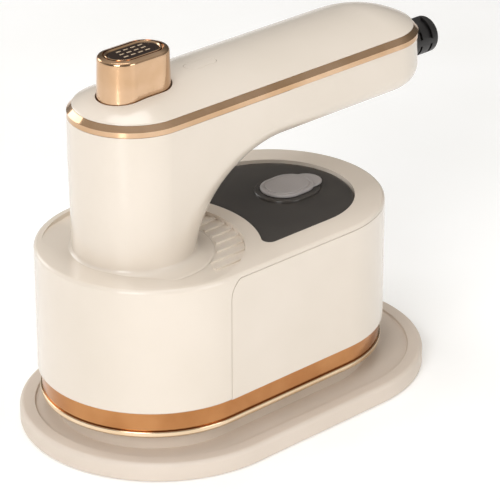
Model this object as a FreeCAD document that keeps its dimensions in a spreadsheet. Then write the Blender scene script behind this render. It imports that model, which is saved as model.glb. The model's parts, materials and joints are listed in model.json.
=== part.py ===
"""Compact steam iron with a swivelling handle, standing on its rest tray (FreeCAD 1.1 macro, mm).

X runs from the handle's column (front) to the cord end (rear), Z is up and the tray's underside is z = 0.
The origin lies below the middle of the iron's body. The handle swivels about a vertical axis at swivel_x.
"""
import FreeCAD, Part
import math
import os
import Sketcher

V = FreeCAD.Vector
doc = FreeCAD.newDocument("SteamIron")
sheet = doc.addObject("Spreadsheet::Sheet", "Sizes")


class Size:
    """A length that carries its value and the spreadsheet expression that gives it."""

    def __init__(self, value, text):
        self.value = value
        self.text = text

    def __add__(self, other):
        other = as_size(other)
        return Size(self.value + other.value, f"({self.text} + {other.text})")

    def __sub__(self, other):
        other = as_size(other)
        return Size(self.value - other.value, f"({self.text} - {other.text})")

    def __mul__(self, other):
        other = as_size(other)
        return Size(self.value * other.value, f"({self.text} * {other.text})")

    def __truediv__(self, other):
        other = as_size(other)
        return Size(self.value / other.value, f"({self.text} / {other.text})")

    def __radd__(self, other):
        return as_size(other) + self

    def __rsub__(self, other):
        return as_size(other) - self

    def __rmul__(self, other):
        return as_size(other) * self

    def __neg__(self):
        return Size(-self.value, f"(-{self.text})")

    def root(self):
        return Size(math.sqrt(self.value), f"sqrt({self.text})")


def as_size(number):
    return number if isinstance(number, Size) else Size(float(number), repr(float(number)))


rows = 0


def size(alias, number):
    """Write one driving dimension into the sheet and return it."""
    global rows
    rows += 1
    sheet.set(f"A{rows}", alias.replace("_", " "))
    sheet.set(f"B{rows}", str(number))
    sheet.setAlias(f"B{rows}", alias)
    return Size(float(number), f"Sizes.{alias}")


# Iron body: a stadium in plan
body_radius = size("body_radius", 37.5)
body_span = size("body_span", 25.85)
shell_bottom = size("shell_bottom", 20.2)
deck_top = size("deck_top", 62.7)
shell_wall = size("shell_wall", 2.2)
deck_edge = size("deck_edge", 1.2)
deck_liner = size("deck_liner", 1.6)
deck_round = size("deck_round", 1.0)
panel_front = size("panel_front", -26.8)
panel_corner = size("panel_corner", 7.5)
panel_gap = size("panel_gap", 0.2)
# Soleplate, skirt and heater
sole_bottom = size("sole_bottom", 11.5)
sole_thickness = size("sole_thickness", 2.0)
sole_inset = size("sole_inset", 0.6)
skirt_inset = size("skirt_inset", 1.1)
skirt_wall = size("skirt_wall", 1.5)
casting_inset = size("casting_inset", 5.0)
casting_height = size("casting_height", 9.0)
chamber_radius = size("chamber_radius", 15.5)
chamber_floor = size("chamber_floor", 3.0)
element_path = size("element_path", 22.0)
element_radius = size("element_radius", 3.2)
element_end = size("element_end", 20.0)
steam_hole = size("steam_hole", 1.6)
gasket_thickness = size("gasket_thickness", 0.6)
cover_thickness = size("cover_thickness", 1.5)
cover_radius = size("cover_radius", 20.0)
shield_gap = size("shield_gap", 6.0)
shield_thickness = size("shield_thickness", 2.0)
spacer_radius = size("spacer_radius", 3.0)
thermostat_radius = size("thermostat_radius", 8.0)
thermostat_x = size("thermostat_x", 14.0)
hose_x = size("hose_x", -36.0)
# Rest tray
tray_x = size("tray_x", 5.2)
tray_span = size("tray_span", 28.25)
tray_radius = size("tray_radius", 45.9)
tray_height = size("tray_height", 6.2)
tray_rim = size("tray_rim", 5.0)
tray_dish = size("tray_dish", 1.0)
tray_plate = size("tray_plate", 2.2)
tray_wall = size("tray_wall", 2.5)
tray_round = size("tray_round", 1.4)
pad_inset = size("pad_inset", 5.5)
pad_seat = size("pad_seat", 0.6)
foot_radius = size("foot_radius", 5.0)
# Swivel column and recess in the deck
swivel_x = size("swivel_x", -33.45)
recess_radius = size("recess_radius", 34.8)
recess_inset = size("recess_inset", 2.5)
recess_depth = size("recess_depth", 1.5)
flange_radius = size("flange_radius", 25.5)
flange_thickness = size("flange_thickness", 0.8)
column_foot = size("column_foot", 19.5)
rib_pitch = size("rib_pitch", 4.6)
rib_width = size("rib_width", 1.2)
rib_height = size("rib_height", 0.8)
shaft_radius = size("shaft_radius", 11.0)
shaft_bore = size("shaft_bore", 8.0)
bush_wall = size("bush_wall", 1.95)
bush_bottom = size("bush_bottom", 50.0)
shaft_bottom = size("shaft_bottom", 46.6)
shaft_top = size("shaft_top", 76.0)
washer_thickness = size("washer_thickness", 0.8)
circlip_thickness = size("circlip_thickness", 1.2)
circlip_groove = size("circlip_groove", 0.9)
# Water tank, its smoky lid and the filler
lid_front_arc = size("lid_front_arc", 40.6)
lid_half_width = size("lid_half_width", 27.3)
lid_drop = size("lid_drop", 1.5)
lid_thickness = size("lid_thickness", 2.0)
lid_corner = size("lid_corner", 3.0)
lid_gap = size("lid_gap", 0.35)
seal_thickness = size("seal_thickness", 0.8)
tank_margin = size("tank_margin", 0.9)
tank_wall = size("tank_wall", 2.0)
tank_bottom = size("tank_bottom", 33.0)
filler_front = size("filler_front", 31.5)
filler_rear = size("filler_rear", 35.5)
filler_hole = size("filler_hole", 6.0)
collar_radius = size("collar_radius", 9.5)
collar_height = size("collar_height", 0.8)
neck_wall = size("neck_wall", 1.0)
plug_radius = size("plug_radius", 7.5)
plug_head = size("plug_head", 1.2)
plug_stem = size("plug_stem", 6.0)
plug_tab = size("plug_tab", 43.6)
# Handle
handle_radius = size("handle_radius", 20.15)
handle_rear = size("handle_rear", 65.2)
handle_under = size("handle_under", 92.0)
handle_round = size("handle_round", 5.0)
handle_floor = size("handle_floor", 2.4)
handle_wall = size("handle_wall", 2.45)
blend_radius = size("blend_radius", 28.0)
band_bottom = size("band_bottom", 107.95)
band_facet = size("band_facet", 2.0)
band_slope = size("band_slope", 1.5)
band_inset = size("band_inset", 1.65)
cap_crown = size("cap_crown", 4.0)
cap_round = size("cap_round", 3.4)
cap_thickness = size("cap_thickness", 2.0)
handle_screw_front = size("handle_screw_front", 26.0)
handle_screw_rear = size("handle_screw_rear", 60.0)
# Steam button, power key and what they press
button_front = size("button_front", -37.35)
button_rear = size("button_rear", -27.6)
button_radius = size("button_radius", 7.9)
button_height = size("button_height", 13.1)
button_travel = size("button_travel", 3.0)
button_wall = size("button_wall", 1.7)
button_edge = size("button_edge", 0.9)
lens_radius = size("lens_radius", 4.3)
lens_depth = size("lens_depth", 0.9)
key_front = size("key_front", -8.3)
key_rear = size("key_rear", -1.5)
key_radius = size("key_radius", 2.6)
key_travel = size("key_travel", 0.6)
key_gap = size("key_gap", 0.15)
carrier_top = size("carrier_top", 106.0)
carrier_thickness = size("carrier_thickness", 1.5)
board_top = size("board_top", 101.6)
board_thickness = size("board_thickness", 1.6)
board_front = size("board_front", -12.0)
board_rear = size("board_rear", 20.0)
switch_side = size("switch_side", 6.0)
spring_coil = size("spring_coil", 5.2)
spring_wire = size("spring_wire", 0.35)
# Strain relief at the cord end
relief_z = size("relief_z", 99.5)
relief_radius = size("relief_radius", 6.2)
relief_end = size("relief_end", 98.6)
relief_neck = size("relief_neck", 4.5)
relief_bore = size("relief_bore", 3.0)
slot_width = size("slot_width", 1.0)
slot_depth = size("slot_depth", 2.0)
# Fits
running = size("running", 0.05)
clearance = size("clearance", 0.3)
doc.recompute()

# Heights and radii worked out from the driving sizes
sole_top = sole_bottom + sole_thickness
casting_radius = body_radius - casting_inset
casting_top = sole_top + casting_height
cover_bottom = casting_top + gasket_thickness
cover_top = cover_bottom + cover_thickness
shield_bottom = casting_top + shield_gap
shield_top = shield_bottom + shield_thickness
inner_radius = body_radius - shell_wall
deck_under = deck_top - deck_edge - deck_liner
panel_top = deck_top - deck_edge
recess_floor = deck_top - recess_depth
lid_top = deck_top - lid_drop
lid_bottom = lid_top - lid_thickness
tank_top = lid_bottom - seal_thickness
collar_top = lid_top + collar_height
flange_bottom = recess_floor + clearance
flange_top = flange_bottom + flange_thickness
handle_inside = handle_radius - handle_wall
handle_base = handle_under + handle_floor
band_top = band_bottom + band_facet + band_slope
cap_radius = handle_radius - band_inset
cap_top = band_top + cap_crown
cap_under = cap_top - cap_thickness
button_top = cap_top + button_height
button_base = cap_under - clearance - 1.2
shaft_hole = shaft_radius + running
element_z = sole_top + chamber_floor + element_radius - 1.1


def new_body(label, x=0, z=0):
    """A body named as its node, with its own frame at (x, 0, z)."""
    body = doc.addObject("PartDesign::Body", label)
    body.Label = label
    body.Placement = FreeCAD.Placement(V(as_size(x).value, 0, as_size(z).value), FreeCAD.Rotation())
    body.setExpression("Placement.Base.x", as_size(x).text)
    body.setExpression("Placement.Base.z", as_size(z).text)
    return body


def new_sketch(body, role="XY_Plane", offset=0):
    """A sketch on one of the body's origin planes, moved along the plane's normal."""
    plane = next(item for item in body.Origin.OriginFeatures if item.Role == role)
    sketch = body.newObject("Sketcher::SketchObject", body.Name + "_sketch")
    sketch.AttachmentSupport = [(plane, "")]
    sketch.MapMode = "FlatFace"
    offset = as_size(offset)
    sketch.AttachmentOffset = FreeCAD.Placement(V(0, 0, offset.value), FreeCAD.Rotation())
    sketch.setExpression("AttachmentOffset.Base.z", offset.text)
    return sketch


def bind(sketch, kind, *where_and_size):
    """Add one dimensional constraint and drive it from the sheet."""
    where = where_and_size[:-1]
    length = as_size(where_and_size[-1])
    index = sketch.addConstraint(Sketcher.Constraint(kind, *where, length.value))
    sketch.setExpression(f"Constraints[{index}]", length.text)


def place_point(sketch, item, corner, x, y):
    bind(sketch, "DistanceX", -1, 1, item, corner, x)
    bind(sketch, "DistanceY", -1, 1, item, corner, y)


def circle(sketch, x, y, radius):
    x, y, radius = as_size(x), as_size(y), as_size(radius)
    item = sketch.addGeometry(Part.Circle(V(x.value, y.value, 0), V(0, 0, 1), radius.value))
    place_point(sketch, item, 3, x, y)
    bind(sketch, "Radius", item, radius)


def arc(sketch, x, y, radius, start, end):
    """An arc about (x, y), counter-clockwise between two angles in radians."""
    whole = Part.Circle(V(as_size(x).value, as_size(y).value, 0), V(0, 0, 1), as_size(radius).value)
    item = sketch.addGeometry(Part.ArcOfCircle(whole, start, end))
    place_point(sketch, item, 3, x, y)
    return item


def line(sketch, start, end):
    return sketch.addGeometry(Part.LineSegment(V(*start, 0), V(*end, 0)))


def stadium(sketch, x1, x2, radius, y=0):
    """A slot outline along X with its end centres at x1 and x2."""
    x1, x2, radius, y = as_size(x1), as_size(x2), as_size(radius), as_size(y)
    low, high = y.value - radius.value, y.value + radius.value
    front = arc(sketch, x1, y, radius, math.pi / 2, 3 * math.pi / 2)
    bottom = line(sketch, (x1.value, low), (x2.value, low))
    rear = arc(sketch, x2, y, radius, -math.pi / 2, math.pi / 2)
    top = line(sketch, (x2.value, high), (x1.value, high))
    for one, one_end, other, other_end in ((front, 2, bottom, 1), (bottom, 2, rear, 1),
                                           (rear, 2, top, 1), (top, 2, front, 1)):
        sketch.addConstraint(Sketcher.Constraint("Tangent", one, one_end, other, other_end))
    sketch.addConstraint(Sketcher.Constraint("Equal", front, rear))
    bind(sketch, "Radius", front, radius)


def outline(sketch, points):
    """A closed polygon through the given points."""
    points = [(as_size(x), as_size(y)) for x, y in points]
    values = [(x.value, y.value) for x, y in points]
    items = [line(sketch, a, b) for a, b in zip(values, values[1:] + values[:1])]
    for item, (x, y) in zip(items, points):
        place_point(sketch, item, 1, x, y)
    for item, following in zip(items, items[1:] + items[:1]):
        sketch.addConstraint(Sketcher.Constraint("Coincident", item, 2, following, 1))


def box_outline(sketch, x1, x2, y1, y2):
    outline(sketch, ((x1, y1), (x2, y1), (x2, y2), (x1, y2)))


def tank_outline(sketch, half_width, front_arc):
    """Straight sides, a round rear end and a hollow front that follows the swivel's circle."""
    reach = (front_arc * front_arc - half_width * half_width).root() + swivel_x
    turn = math.atan2(half_width.value, reach.value - swivel_x.value)
    front = arc(sketch, swivel_x, 0, front_arc, -turn, turn)
    rear = arc(sketch, body_span, 0, half_width, -math.pi / 2, math.pi / 2)
    side = half_width.value
    low = line(sketch, (reach.value, -side), (body_span.value, -side))
    high = line(sketch, (body_span.value, side), (reach.value, side))
    sketch.addConstraint(Sketcher.Constraint("Tangent", low, 2, rear, 1))
    sketch.addConstraint(Sketcher.Constraint("Tangent", rear, 2, high, 1))
    sketch.addConstraint(Sketcher.Constraint("Coincident", high, 2, front, 2))
    sketch.addConstraint(Sketcher.Constraint("Coincident", front, 1, low, 1))
    bind(sketch, "Radius", front, front_arc)
    bind(sketch, "Radius", rear, half_width)
    sketch.addConstraint(Sketcher.Constraint("Horizontal", low))
    sketch.addConstraint(Sketcher.Constraint("Horizontal", high))


def pad(body, sketch, length, both_ways=False):
    feature = body.newObject("PartDesign::Pad", body.Name + "_pad")
    feature.Profile = sketch
    feature.Length = as_size(length).value
    feature.setExpression("Length", as_size(length).text)
    if both_ways:
        feature.SideType = "Symmetric"
    doc.recompute()
    return feature


def pocket(body, sketch, length, upwards=False, both_ways=False):
    """Cut downwards from the sketch (or upwards), and make sure that something is removed."""
    before = body.Shape.Volume
    feature = body.newObject("PartDesign::Pocket", body.Name + "_pocket")
    feature.Profile = sketch
    feature.Length = as_size(length).value
    feature.setExpression("Length", as_size(length).text)
    feature.Reversed = upwards
    if both_ways:
        feature.SideType = "Symmetric"
    doc.recompute()
    if not body.Shape.Volume < before:
        raise RuntimeError(f"{feature.Name} cuts nothing from {body.Label}: {feature.State}")
    return feature


def fillet(body, radius, chosen):
    """Round the edges of the body's tip that the test chooses."""
    tip = body.Tip
    names = [f"Edge{number}" for number, edge in enumerate(tip.Shape.Edges, 1) if chosen(edge)]
    if not names:
        raise RuntimeError(f"no edge to round on {body.Label}")
    feature = body.newObject("PartDesign::Fillet", body.Name + "_fillet")
    feature.Base = (tip, names)
    feature.Radius = as_size(radius).value
    feature.setExpression("Radius", as_size(radius).text)
    doc.recompute()
    return feature


def flat_at(height, least_reach=0):
    """Choose edges that lie flat at one height and reach at least so far in Y."""
    level = as_size(height).value
    reach = as_size(least_reach).value

    def chosen(edge):
        bounds = edge.BoundBox
        flat = abs(bounds.ZMin - level) < 1e-4 and abs(bounds.ZMax - level) < 1e-4
        return flat and max(abs(bounds.YMin), abs(bounds.YMax)) > reach - 1e-4
    return chosen


def disc(label, points, bottom, height, radius, bore=None, x=0):
    """Equal round pieces in one node, such as screws' shanks, posts or washers."""
    body = new_body(label, x)
    sketch = new_sketch(body, offset=bottom)
    for px, py in points:
        circle(sketch, px, py, radius)
        if bore is not None:
            circle(sketch, px, py, bore)
    pad(body, sketch, height)
    return body


def screws(label, points, head_bottom, head_height, head_radius, shank_radius, length, upwards=False):
    """Round-headed screws in one node; the shank goes down from the head, or up."""
    for number, (px, py) in enumerate(points):
        head = doc.addObject("Part::Cylinder", f"{label}_head{number}")
        shank = doc.addObject("Part::Cylinder", f"{label}_shank{number}")
        bottom = head_bottom + head_height if upwards else head_bottom - length
        for item, low, radius, height in ((head, head_bottom, head_radius, head_height),
                                          (shank, bottom, shank_radius, length)):
            item.setExpression("Radius", as_size(radius).text)
            item.setExpression("Height", as_size(height).text)
            item.setExpression("Placement.Base.x", as_size(px).text)
            item.setExpression("Placement.Base.y", as_size(py).text)
            item.setExpression("Placement.Base.z", as_size(low).text)
        screw = doc.addObject("Part::Fuse", f"{label}_screw{number}")
        screw.Base = head
        screw.Tool = shank
    group = doc.addObject("Part::Compound", label)
    group.Links = [doc.getObject(f"{label}_screw{number}") for number in range(len(points))]
    group.Label = label
    return group


# ---------------------------------------------------------------- rest tray
pad_radius = body_radius - pad_inset
foot_y = tray_radius - 14
foot_points = [(tray_x + side * tray_span, end * foot_y) for side in (-1, 1) for end in (-1, 1)] + [(0, 0)]


def make_tray():
    body = new_body("rest_tray")
    base = new_sketch(body)
    stadium(base, tray_x - tray_span, tray_x + tray_span, tray_radius)
    pad(body, base, tray_height)
    dish = new_sketch(body, offset=tray_height)
    stadium(dish, tray_x - tray_span, tray_x + tray_span, tray_radius - tray_rim)
    pocket(body, dish, tray_dish)
    seat = new_sketch(body, offset=tray_height - tray_dish)
    stadium(seat, -body_span, body_span, pad_radius + 0.1)
    pocket(body, seat, pad_seat)
    under = new_sketch(body)
    stadium(under, tray_x - tray_span, tray_x + tray_span, tray_radius - tray_wall)
    pocket(body, under, tray_height - tray_dish - tray_plate, upwards=True)
    fillet(body, tray_round, flat_at(tray_height, tray_radius))

    rubber = new_body("seat_pad")
    shape = new_sketch(rubber, offset=tray_height - tray_dish - pad_seat)
    stadium(shape, -body_span, body_span, pad_radius)
    pad(rubber, shape, sole_bottom - tray_height + tray_dish + pad_seat)
    disc("tray_feet", foot_points, 0, tray_height - tray_dish - tray_plate, foot_radius)


# ---------------------------------------------------------------- soleplate and heater
hole_rows = 4
hole_step = size("hole_step", 10.0)
hole_row_y = size("hole_row_y", 7.5)
steam_holes = [((2 * row - hole_rows) * hole_step / 2, side * hole_row_y)
               for row in range(hole_rows + 1) for side in (-1, 1)]
cover_screw_ring = (chamber_radius + element_path - element_radius - 0.2) / 2
cover_screw_points = [(x, side * cover_screw_ring) for x in (-body_span, as_size(0), body_span) for side in (-1, 1)]
spacer_reach = element_path + element_radius + 0.6 + spacer_radius + 0.2
spacer_points = [(end * (body_span + spacer_reach * 0.7071), side * spacer_reach * 0.7071)
                 for end in (-1, 1) for side in (-1, 1)]
boss_radius = size("boss_radius", 3.4)
boss_inset = size("boss_inset", 2.9)
rear_boss_x = body_span + (inner_radius - boss_inset) * 0.9063
rear_boss_y = (inner_radius - boss_inset) * 0.4226
front_boss_x = size("front_boss_x", -55.0)
front_boss_y = size("front_boss_y", 9.0)
front_boss_points = [(front_boss_x, front_boss_y), (front_boss_x, -front_boss_y)]
rear_boss_points = [(rear_boss_x, rear_boss_y), (rear_boss_x, -rear_boss_y)]
small_thread = size("small_thread", 1.1)
large_thread = size("large_thread", 1.5)


def drill(body, points, top, depth, radius, upwards=False):
    sketch = new_sketch(body, offset=top)
    for px, py in points:
        circle(sketch, px, py, radius)
    pocket(body, sketch, depth, upwards)


def make_soleplate():
    body = new_body("soleplate")
    face = new_sketch(body, offset=sole_bottom)
    stadium(face, -body_span, body_span, body_radius - sole_inset)
    pad(body, face, sole_thickness)
    drill(body, steam_holes, sole_top, sole_thickness, steam_hole)
    fillet(body, 0.6, flat_at(sole_bottom, body_radius - sole_inset))


def make_casting():
    body = new_body("heater_casting")
    block = new_sketch(body, offset=sole_top)
    stadium(block, -body_span, body_span, casting_radius)
    pad(body, block, casting_height)
    chamber = new_sketch(body, offset=casting_top)
    stadium(chamber, -body_span, body_span, chamber_radius)
    pocket(body, chamber, casting_height - chamber_floor)
    channel = new_sketch(body, offset=casting_top)
    stadium(channel, -body_span, body_span, element_path - element_radius - 0.2)
    stadium(channel, -body_span, body_span, element_path + element_radius + 0.2)
    pocket(body, channel, casting_top - element_z + element_radius + 0.2)
    drill(body, steam_holes, sole_top + chamber_floor, chamber_floor, steam_hole)
    drill(body, cover_screw_points, casting_top, 5.2, small_thread + running)
    drill(body, spacer_points, casting_top, 6.2, large_thread + running)


def make_element():
    """Tubular heater bent round the steam chamber, with two terminal pins turned up at the rear."""
    body = new_body("heating_element")
    route = new_sketch(body, offset=element_z)
    reach = element_path.value
    low = line(route, (element_end.value, -reach), (-body_span.value, -reach))
    bend = arc(route, -body_span, 0, element_path, math.pi / 2, 3 * math.pi / 2)
    high = line(route, (-body_span.value, reach), (element_end.value, reach))
    route.addConstraint(Sketcher.Constraint("Tangent", low, 2, bend, 2))
    route.addConstraint(Sketcher.Constraint("Tangent", bend, 1, high, 1))
    bind(route, "Radius", bend, element_path)
    route.addConstraint(Sketcher.Constraint("Horizontal", low))
    route.addConstraint(Sketcher.Constraint("Horizontal", high))
    bind(route, "DistanceX", -1, 1, low, 1, element_end)
    bind(route, "DistanceX", -1, 1, high, 2, element_end)
    section = new_sketch(body, "YZ_Plane", element_end)
    circle(section, -element_path, element_z, element_radius)
    pipe = body.newObject("PartDesign::AdditivePipe", "heating_element_pipe")
    pipe.Profile = section
    pipe.Spine = (route, ["Edge1", "Edge2", "Edge3"])
    doc.recompute()
    pins = new_sketch(body, offset=element_z)
    for side in (-1, 1):
        circle(pins, element_end - 3, side * element_path, 1.2)
    pad(body, pins, tank_bottom - 1.0 - element_z)


def make_chamber_cover():
    gasket = new_body("chamber_gasket")
    ring = new_sketch(gasket, offset=casting_top)
    stadium(ring, -body_span, body_span, cover_radius)
    stadium(ring, -body_span, body_span, chamber_radius)
    pad(gasket, ring, gasket_thickness)
    drill(gasket, cover_screw_points, cover_bottom, gasket_thickness, small_thread + running)
    cover = new_body("chamber_cover")
    plate = new_sketch(cover, offset=cover_bottom)
    stadium(plate, -body_span, body_span, cover_radius)
    pad(cover, plate, cover_thickness)
    drill(cover, cover_screw_points, cover_top, cover_thickness, small_thread + running)
    drill(cover, [(hose_x, 0)], cover_top, cover_thickness, 1.5)
    screws("chamber_screws", cover_screw_points, cover_top, 1.4, 1.35, small_thread,
           cover_top - casting_top + 5.0)


def make_skirt():
    body = new_body("copper_skirt")
    ring = new_sketch(body, offset=sole_top)
    stadium(ring, -body_span, body_span, body_radius - skirt_inset)
    stadium(ring, -body_span, body_span, body_radius - skirt_inset - skirt_wall)
    pad(body, ring, shell_bottom - sole_top)


def make_shield():
    disc("shield_spacers", spacer_points, casting_top, shield_gap, spacer_radius, large_thread + running)
    body = new_body("heat_shield")
    plate = new_sketch(body, offset=shield_bottom)
    stadium(plate, -body_span, body_span, inner_radius - clearance)
    pad(body, plate, shield_thickness)
    drill(body, spacer_points + front_boss_points + rear_boss_points, shield_top, shield_thickness,
          large_thread + running)
    drill(body, [(thermostat_x, 0)], shield_top, shield_thickness, thermostat_radius + clearance)
    drill(body, [(hose_x, 0), (element_end - 3, element_path), (element_end - 3, -element_path)],
          shield_top, shield_thickness, 3.0)
    screws("shield_screws", spacer_points, shield_top, 1.8, 2.6, large_thread, shield_top - casting_top + 6.0)
    screws("shell_screws", front_boss_points + rear_boss_points, shield_bottom - 1.8, 1.8, 2.6,
           large_thread, shield_thickness + 8.0, upwards=True)


def make_thermal_guards():
    disc("thermostat", [(thermostat_x, 0)], cover_top, tank_bottom - 1.2 - cover_top, thermostat_radius)
    body = new_body("thermal_fuse")
    barrel = new_sketch(body, "YZ_Plane", -18)
    circle(barrel, 8, cover_top + 1.8 + running, 1.8)
    pad(body, barrel, 12)


# ---------------------------------------------------------------- shells
def panel_profile(sketch, edge, corner_radius, top, far, low):
    """Side view of the rear panel's front edge: upright, then turned back under the deck."""
    turn = top.value - corner_radius.value
    corner = edge + corner_radius
    upright = line(sketch, (edge.value, low), (edge.value, turn))
    bend = arc(sketch, corner, top - corner_radius, corner_radius, math.pi / 2, math.pi)
    roof = line(sketch, (corner.value, top.value), (far, top.value))
    back = line(sketch, (far, top.value), (far, low))
    base = line(sketch, (far, low), (edge.value, low))
    sketch.addConstraint(Sketcher.Constraint("Tangent", upright, 2, bend, 2))
    sketch.addConstraint(Sketcher.Constraint("Tangent", bend, 1, roof, 1))
    bind(sketch, "Radius", bend, corner_radius)
    for one, other in ((roof, back), (back, base), (base, upright)):
        sketch.addConstraint(Sketcher.Constraint("Coincident", one, 2, other, 1))
    sketch.addConstraint(Sketcher.Constraint("Horizontal", roof))
    sketch.addConstraint(Sketcher.Constraint("Vertical", upright))
    sketch.addConstraint(Sketcher.Constraint("Vertical", back))
    sketch.addConstraint(Sketcher.Constraint("Horizontal", base))
    place_point(sketch, back, 2, far, low)


def make_front_shell():
    """Front wall and the whole deck; the rear panel closes what is cut away here."""
    body = new_body("front_shell")
    wall = new_sketch(body, offset=shell_bottom)
    stadium(wall, -body_span, body_span, body_radius)
    stadium(wall, -body_span, body_span, inner_radius)
    pad(body, wall, panel_top - shell_bottom)
    opening = new_sketch(body, "XZ_Plane")
    panel_profile(opening, panel_front, panel_corner, panel_top, 90, 10)
    pocket(body, opening, 120, both_ways=True)
    deck = new_sketch(body, offset=panel_top)
    stadium(deck, -body_span, body_span, body_radius)
    pad(body, deck, deck_edge)
    fillet(body, deck_round, flat_at(deck_top, body_radius))
    liner = new_sketch(body, offset=deck_under)
    stadium(liner, -body_span, body_span, inner_radius - panel_gap)
    pad(body, liner, deck_liner)
    window = new_sketch(body, offset=deck_top)
    tank_outline(window, lid_half_width + lid_gap, lid_front_arc - lid_gap)
    pocket(body, window, deck_top - deck_under)
    bosses = new_sketch(body, offset=shield_top)
    for px, py in front_boss_points:
        circle(bosses, px, py, boss_radius)
    pad(body, bosses, deck_under - shield_top)
    recess = new_sketch(body, offset=deck_top)
    recess_outline(recess)
    pocket(body, recess, recess_depth)
    drill(body, [(swivel_x, 0)], recess_floor, recess_floor - deck_under, shaft_hole + bush_wall + running)
    drill(body, front_boss_points, shield_top, 10, large_thread + running, upwards=True)
    make_ribs(body)


def recess_outline(sketch):
    """A lens of two arcs: the swivel's circle at the rear, the body's outline set in at the front."""
    front_radius = body_radius - recess_inset
    apart = -body_span - swivel_x
    x = (recess_radius * recess_radius - front_radius * front_radius + apart * apart) / (2 * apart)
    y = (recess_radius * recess_radius - x * x).root()
    turn = math.atan2(y.value, x.value)
    rear = arc(sketch, swivel_x, 0, recess_radius, -turn, turn)
    turn = math.atan2(y.value, x.value - apart.value)
    front = arc(sketch, -body_span, 0, front_radius, turn, 2 * math.pi - turn)
    sketch.addConstraint(Sketcher.Constraint("Coincident", rear, 2, front, 1))
    sketch.addConstraint(Sketcher.Constraint("Coincident", front, 2, rear, 1))
    bind(sketch, "Radius", rear, recess_radius)
    bind(sketch, "Radius", front, front_radius)


def make_ribs(body):
    """Low grip ribs along X on the recess floor, between the column's flange and the recess wall."""
    ribs = new_sketch(body, offset=recess_floor)
    inner = flange_radius + 0.7
    outer = recess_radius - 0.3
    for step in range(-5, 6):
        y = step * rib_pitch
        low = y - rib_width / 2
        high = y + rib_width / 2
        start = (inner * inner - y * y).root() + swivel_x
        end = (outer * outer - y * y).root() + swivel_x - 0.3
        box_outline(ribs, start, end, low, high)
    pad(body, ribs, rib_height)


def make_rear_shell():
    """U-shaped side and rear panel with two screw bosses inside its round end."""
    body = new_body("rear_shell")
    wall = new_sketch(body, offset=shell_bottom)
    stadium(wall, -body_span, body_span, body_radius)
    stadium(wall, -body_span, body_span, inner_radius)
    pad(body, wall, panel_top - panel_gap - shell_bottom)
    keep = new_sketch(body, "XZ_Plane")
    panel_complement(keep)
    pocket(body, keep, 120, both_ways=True)
    bosses = new_sketch(body, offset=shield_top)
    for px, py in rear_boss_points:
        circle(bosses, px, py, boss_radius)
    pad(body, bosses, 20)
    drill(body, rear_boss_points, shield_top, 10, large_thread + running, upwards=True)


def panel_complement(sketch):
    """Everything in front of the panel's front edge, so that cutting it leaves the panel."""
    edge = panel_front + panel_gap
    radius = panel_corner
    top = panel_top - panel_gap
    corner = edge + radius
    low, far, high = 10, -90, 80
    upright = line(sketch, (edge.value, low), (edge.value, top.value - radius.value))
    bend = arc(sketch, corner, top - radius, radius, math.pi / 2, math.pi)
    rise = line(sketch, (corner.value, top.value), (corner.value, high))
    roof = line(sketch, (corner.value, high), (far, high))
    back = line(sketch, (far, high), (far, low))
    base = line(sketch, (far, low), (edge.value, low))
    sketch.addConstraint(Sketcher.Constraint("Tangent", upright, 2, bend, 2))
    bind(sketch, "Radius", bend, radius)
    for one, other in ((rise, roof), (roof, back), (back, base), (base, upright)):
        sketch.addConstraint(Sketcher.Constraint("Coincident", one, 2, other, 1))
    sketch.addConstraint(Sketcher.Constraint("Coincident", bend, 1, rise, 1))
    for item in (upright, rise, back):
        sketch.addConstraint(Sketcher.Constraint("Vertical", item))
    for item in (roof, base):
        sketch.addConstraint(Sketcher.Constraint("Horizontal", item))
    bind(sketch, "DistanceX", -1, 1, rise, 1, corner)
    place_point(sketch, back, 2, far, low)
    bind(sketch, "DistanceY", -1, 1, roof, 1, high)


# ---------------------------------------------------------------- water side
def make_tank():
    outer_width = lid_half_width + tank_margin
    outer_arc = lid_front_arc - tank_margin
    inner_width = outer_width - tank_wall
    inner_arc = outer_arc + tank_wall
    body = new_body("water_tank")
    block = new_sketch(body, offset=tank_bottom)
    tank_outline(block, outer_width, outer_arc)
    pad(body, block, tank_top - tank_bottom)
    feet = new_sketch(body, offset=shield_top)
    for px, py in ((30, 16), (30, -16), (46, 0)):
        circle(feet, px, py, 2.5)
    pad(body, feet, tank_bottom - shield_top)
    port = new_sketch(body, "YZ_Plane", swivel_x + outer_arc - 3)
    circle(port, 0, pump_z, 3.0)
    pad(body, port, 4)
    hollow = new_sketch(body, offset=tank_top)
    tank_outline(hollow, inner_width, inner_arc)
    pocket(body, hollow, tank_top - tank_bottom - tank_wall)
    bore = new_sketch(body, "YZ_Plane", swivel_x + inner_arc + 3)
    circle(bore, 0, pump_z, 1.2)
    pocket(body, bore, 10)

    seal = new_body("tank_seal")
    ring = new_sketch(seal, offset=tank_top)
    tank_outline(ring, lid_half_width + 0.3, lid_front_arc - 0.3)
    tank_outline(ring, inner_width, inner_arc)
    pad(seal, ring, seal_thickness)


def make_lid():
    """Smoky tank lid, sunk in the deck; its corners are rounded and the filler passes through it."""
    body = new_body("tank_window")
    plate = new_sketch(body, offset=lid_bottom)
    tank_outline(plate, lid_half_width, lid_front_arc)
    pad(body, plate, lid_thickness)
    front_limit = body_span.value

    def front_corner(edge):
        bounds = edge.BoundBox
        upright = bounds.ZLength > 1.0 and bounds.XLength < 1e-4
        return upright and bounds.XMin < front_limit - 1

    fillet(body, lid_corner, front_corner)
    hole = new_sketch(body, offset=lid_top)
    stadium(hole, filler_front, filler_rear, filler_hole)
    pocket(body, hole, lid_thickness)


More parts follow.
